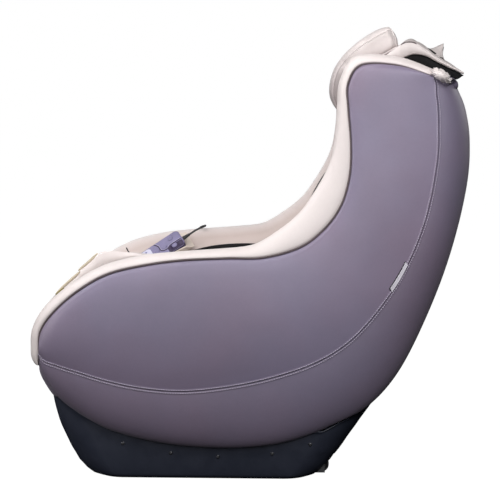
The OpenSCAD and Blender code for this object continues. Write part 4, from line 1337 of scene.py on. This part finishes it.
HANDSET_L = 138
HANDSET_W = 58
HANDSET_T = 22
HANDSET = (Matrix.Translation((-226, -197, 527)) @ Matrix.Rotation(math.radians(8), 4, "Z")
           @ Matrix.Rotation(math.radians(33), 4, "X") @ Matrix.Rotation(math.radians(38), 4, "Y"))
BUTTONS = [("power", 26, 15, 6.5), ("mode", 26, 43, 6.5), ("up", 50, 29, 7), ("down", 72, 29, 7),
           ("timer", 98, 29, 6.5)]  # name, place along and across, radius
KEY_GAP = 0.35


def in_handset(points):
    """Points given in the handset's own frame, in millimetres, in the chair's frame."""
    turn = np.array(HANDSET.to_3x3())
    return np.asarray(points, float) @ turn.T + np.array(HANDSET.translation)


def rounded_outline(x0, x1, y0, y1, r, z):
    """A rounded rectangle as a ring of points at a height."""
    x0, x1, y0, y1 = x0 + r, x1 - r, y0 + r, y1 - r
    ring = []
    for x, y, start in ((x1, y1, 0), (x0, y1, 90), (x0, y0, 180), (x1, y0, 270)):
        for a in np.radians(start + np.linspace(0, 90, 12)):
            ring.append([x + r * math.cos(a), y + r * math.sin(a), z])
    return ring


def handset_layers(name, layers, x0=0, x1=HANDSET_W, y0=-HANDSET_L, y1=0, r=12):
    """A loft of rounded rectangles. layers holds (z, inset)."""
    rings = [rounded_outline(x0 + i, x1 - i, y0 + i, y1 - i, max(r - i * 0.6, 0.8), z) for z, i in layers]
    return loft(name, in_handset(rings))


def disc(name, x, y, layers):
    """A round solid on the handset. layers holds (z, radius)."""
    turn = circle(48)
    rings = [[(x + r * math.cos(a), y + r * math.sin(a), z) for a in turn] for z, r in layers]
    return loft(name, in_handset(rings))


def cut_key_holes(part):
    for name, along_y, x, r in BUTTONS:
        cut(part, disc("hole", x, -along_y, [(-6, r + KEY_GAP), (4, r + KEY_GAP)]))


def make_shell():
    """The handset's two halves, with holes for its keys."""
    shell = handset_layers("handset_body", [(-22, 8), (-21.6, 6), (-20.6, 4.2), (-18, 2.4), (-14, 1.3),
                                            (-9, 0.6), (-4.4, 0.2), (-3.6, 0.5), (-3.2, 1.5)])
    cut_key_holes(shell)
    mark_sharp(shell, 50)
    finish_piece(shell, "handset_plastic", "handset_shell")
    face = handset_layers("handset_cover", [(-3.1, 1.6), (-2.7, 0.6), (-1.9, 0.15), (-0.9, 0.5), (-0.3, 1.4),
                                            (-0.05, 2.8), (0, 4)])
    cut_key_holes(face)
    mark_sharp(face, 40)
    finish_piece(face, "handset_face", "handset_face")


def make_keys():
    """Five domed keys with dished tops."""
    for name, along_y, x, r in BUTTONS:
        key = disc(name + "_key", x, -along_y, [(-2.4, r), (0.3, r), (0.8, r - 0.3), (1.15, r - 0.9),
                                                (1.35, r - 2), (1.2, r - 3.4), (1.1, 0.4)])
        mark_sharp(key, 50)
        finish_piece(key, "button_plastic", name + "_button", body=name + "_button_key")


def make_plate():
    """The pale plate round the timer key, with plain marks, and a dark patch beside the mode key, painted
    shade for the handset's shaded side.
    """
    plate = handset_layers("handset_plate", [(-0.6, 0), (0.2, 0), (0.45, 0.5)], 3, 55, -135, -83, 9)
    cut(plate, disc("hole", 29, -98, [(-3, 7.4), (4, 7.4)]))
    mark_sharp(plate, 40)
    finish_piece(plate, "handset_print", slot="handset_face")
    marks = []
    for x in (11, 19, 39, 47):
        marks.append(disc("dot", x, -96, [(0.3, 2.5), (0.62, 2.5), (0.7, 2.1)]))
        for y in (-114, -125):
            marks.append(handset_layers("bar", [(0.3, 0), (0.66, 0)], x - 3, x + 3, y, y + 3, 1.4))
    finish_piece(joined("handset_marks", marks), "handset_ink", slot="handset_face")
    # painted shade: a dark patch for the handset's shaded side
    side_shade_patch = handset_layers("handset_side_shade", [(-0.8, 0), (0.15, 0), (0.3, 0.4)], 37.5, 57.4, -45, -3, 5.5)
    cut(side_shade_patch, disc("hole", 43, -26, [(-3, 7.3), (4, 7.3)]))
    finish_piece(side_shade_patch, "handset_painted_shade", slot="handset_plastic")


HANDSET_RIDGE = [(33.5, -4), (33.5, -18), (33.2, -28), (34.5, -37), (38.2, -44), (38.6, -51.5), (34.5, -59),
                 (27, -61), (15, -61.5), (2.5, -68)]


def make_painted_ridge():
    """The ridge line that winds between the keys: a pale tube as a painted highlight, with a dark tube beside
    it as painted shade.
    """
    ridge = along(HANDSET_RIDGE, np.linspace(0, len(HANDSET_RIDGE) - 1, 90))
    away = unit(np.gradient(ridge, axis=0)) @ np.array([[0, 1], [-1, 0]])
    for name, shift, radius in (("handset_painted_highlight", -0.9, 0.85), ("handset_painted_shade", 1.2, 1.5)):
        path = np.concatenate([ridge + away * shift, np.full((90, 1), 0.1)], axis=1)
        finish_piece(tube(name, in_handset(path), radius, 8), name, slot="handset_face")


def make_strain_relief():
    """The ribbed boot where the cord enters the handset."""
    t = np.linspace(0, 20, 61)
    r = 5.3 - 2.1 * t / 20 + 0.35 * np.sign(np.sin(t * 2 * math.pi / 4)) * (t > 3) * (t < 18)
    turn = circle(32)
    rings = [[(29 + q * math.cos(a), y, -11 + q * math.sin(a)) for a in turn] for y, q in zip(t, r)]
    boot = loft("cord_boot", in_handset(rings))
    mark_sharp(boot, 50)
    finish_piece(boot, "cord_rubber", "handset_strain_relief")


POCKET_SLIT = [(-321, 483), (-318.5, 477.5), (-315, 472), (-309, 468), (-302, 465)]


def make_pocket():
    """The leather pocket that holds the handset, open at its upper end."""
    u = np.linspace(0, 1, 50)[:, None]
    v = np.linspace(-1, 1, 49)[None, :]
    y = 15 - 152 * u + 0 * v
    reach = np.interp(u, [0, 0.12, 0.45, 0.62, 1], [0.45, 0.66, 0.8, 1, 1])
    turn = v * reach * math.radians(150) * np.where(v < 0, 0.62, 1)
    half_w, half_t = HANDSET_W / 2 + 4.5, HANDSET_T / 2 + 4.5
    shrink = np.interp(u, [0, 0.9, 1], [1, 1, 0.9])
    c, s = np.cos(turn - math.pi / 2), np.sin(turn - math.pi / 2)
    x = HANDSET_W / 2 + half_w * shrink * np.sign(c) * np.abs(c) ** 0.5
    z = -HANDSET_T / 2 + half_t * shrink * np.sign(s) * np.abs(s) ** 0.5
    face = np.stack([x, y, z], axis=-1)
    face += 0.7 * wave(face, 30, 61)[..., None] * [0.6, 0, 1]
    face = in_handset(face)
    normal = grid_normals(face)
    inward = in_handset([[HANDSET_W / 2, -70, -HANDSET_T / 2]])[0] - face
    normal *= np.sign(np.sum(normal * inward))
    rings = np.concatenate([face - normal * 2.4, face[:, ::-1]], axis=1)
    pocket = loft("handset_sleeve", rings)
    finish_piece(pocket, "pocket_leather", "handset_pocket", slot="cream_leather")
    line_tube("pocket_binding", POCKET_SLIT, -200.0, 1.5, 30, 8, "black_lining")


# ---- Pillow strap and dust cover ----

STRAP_HALF = 150
STRAP_Y = 340
STRAP_LENGTH = 36


def make_strap():
    """The leather hinge that holds the pillow to the crest."""
    u = np.linspace(0, 1, 26)[:, None]
    share = np.linspace(-1, 1, 31)[None, :]
    x = STRAP_HALF * share + 0 * u
    y = STRAP_Y + STRAP_LENGTH * u + 0 * share
    z = 981.5 - 5 * u**2 + 1.5 * np.sin(math.pi * u) + 0 * share
    strap = thick_sheet("pillow_strap", np.stack([x, y, z], axis=-1), 2.4)
    strap.data.materials.append(MATERIALS["cream_leather"])
    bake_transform(strap)


DUST_COVER_R = 363


def make_dust_cover():
    """The black cloth behind the pads, which the rollers press on."""
    rows = []
    x_share = np.linspace(-1, 1, 33)
    for s in np.linspace(6.3, 15.6, 70):
        line = channel(np.full(33, s), x_share * (half_width(s) - 90), 30.0)
        rows.append(behind(line, DUST_COVER_R + 0.4))
    face = np.array(rows)
    out = behind(face, DUST_COVER_R + 1.8)
    cover = loft("dust_cloth_sheet", np.concatenate([face, out[:, ::-1]], axis=1))
    finish_piece(cover, "dust_cloth", "dust_cover")


# ---- The CAD parts, and the order of making ----

def dress_frame():
    """Gives every CAD part the material of its slot, and softens its edges."""
    for part in frame["record"]["subparts"]:
        obj = frame["nodes"][part["node"]]
        obj.data.materials.clear()
        obj.data.materials.append(MATERIALS[part["material_slot"]])
        weld = obj.modifiers.new("weld", "WELD")
        weld.merge_threshold = 0.00001
        bevel = obj.modifiers.new("bevel", "BEVEL")
        bevel.width = 0.0006
        bevel.segments = 2
        bevel.limit_method = "ANGLE"
        bevel.angle_limit = math.radians(35)
        bevel.harden_normals = True


for make in (make_camera, make_cord, make_side_panel, make_gusset, make_rims, make_apron, make_crest,
             make_stitching, make_pads, make_pillow, make_seat_flap, make_crest_flap, make_zip,
             make_rim_ends, make_label, make_gap_shade_sheets, make_groove_shade_strips, make_base, make_screws,
             make_wheels, make_shell, make_keys, make_plate, make_painted_ridge, make_strain_relief,
             make_pocket, make_strap, make_dust_cover, dress_frame):
    make()


# ---- Studio ----

LAMPS = [  # name, place, size, power
    ("top_left", (0.4, -1.8, 2.4), 1.4, 25),
    ("high", (1.5, -0.3, 2.6), 1.2, 23),
    ("front", (0.8, -2.8, 1.2), 1.6, 30),
    ("side", (3.2, -0.2, 1.3), 1.6, 32),
    ("right", (2.2, 1.2, 2.2), 1.4, 34),
    ("rear_fill", (-2.0, 2.6, 1.7), 1.6, 16),
    ("far_fill", (-3.0, -0.9, 1.6), 1.6, 9),
]
LAMP_AIM = Vector((0, 0, 0.5))


def make_studio():
    """White floor and sky for the camera, and soft lamps all round the chair."""
    floor = mesh_object("floor", [(-40, -40, 0), (40, -40, 0), (40, 40, 0), (-40, 40, 0)], [(0, 1, 2, 3)], 1)
    tree, shader, place = new_material("floor", Roughness=0.9, Emission_Strength=1.0)
    tone = ramp(tree, noise_of(tree, place, 2, 3), (0.3, (0.05, 0.05, 0.05)), (0.7, (0.06, 0.06, 0.06)))
    tree.links.new(tone, shader.inputs["Base Color"])
    shader.inputs["Emission Color"].default_value = (1, 1, 1, 1)
    floor.data.materials.append(MATERIALS["floor"])
    floor.location.z = -0.0005
    floor.visible_diffuse = False
    floor.visible_glossy = False
    world = bpy.data.worlds.new("studio")
    bpy.context.scene.world = world
    world.use_nodes = True
    tree = world.node_tree
    back = tree.nodes["Background"]
    back.inputs["Color"].default_value = (1, 1, 1, 1)
    seen = node(tree, "LightPath").outputs["Is Camera Ray"]
    tree.links.new(seen, back.inputs["Strength"])
    for name, at, size, power in LAMPS:
        data = bpy.data.lights.new(name, "AREA")
        data.size = size
        data.energy = power
        lamp = bpy.data.objects.new(name, data)
        bpy.context.scene.collection.objects.link(lamp)
        lamp.location = at
        lamp.rotation_euler = (LAMP_AIM - Vector(at)).to_track_quat("-Z", "Y").to_euler()
    bpy.context.scene.view_settings.view_transform = "Standard"


make_studio()
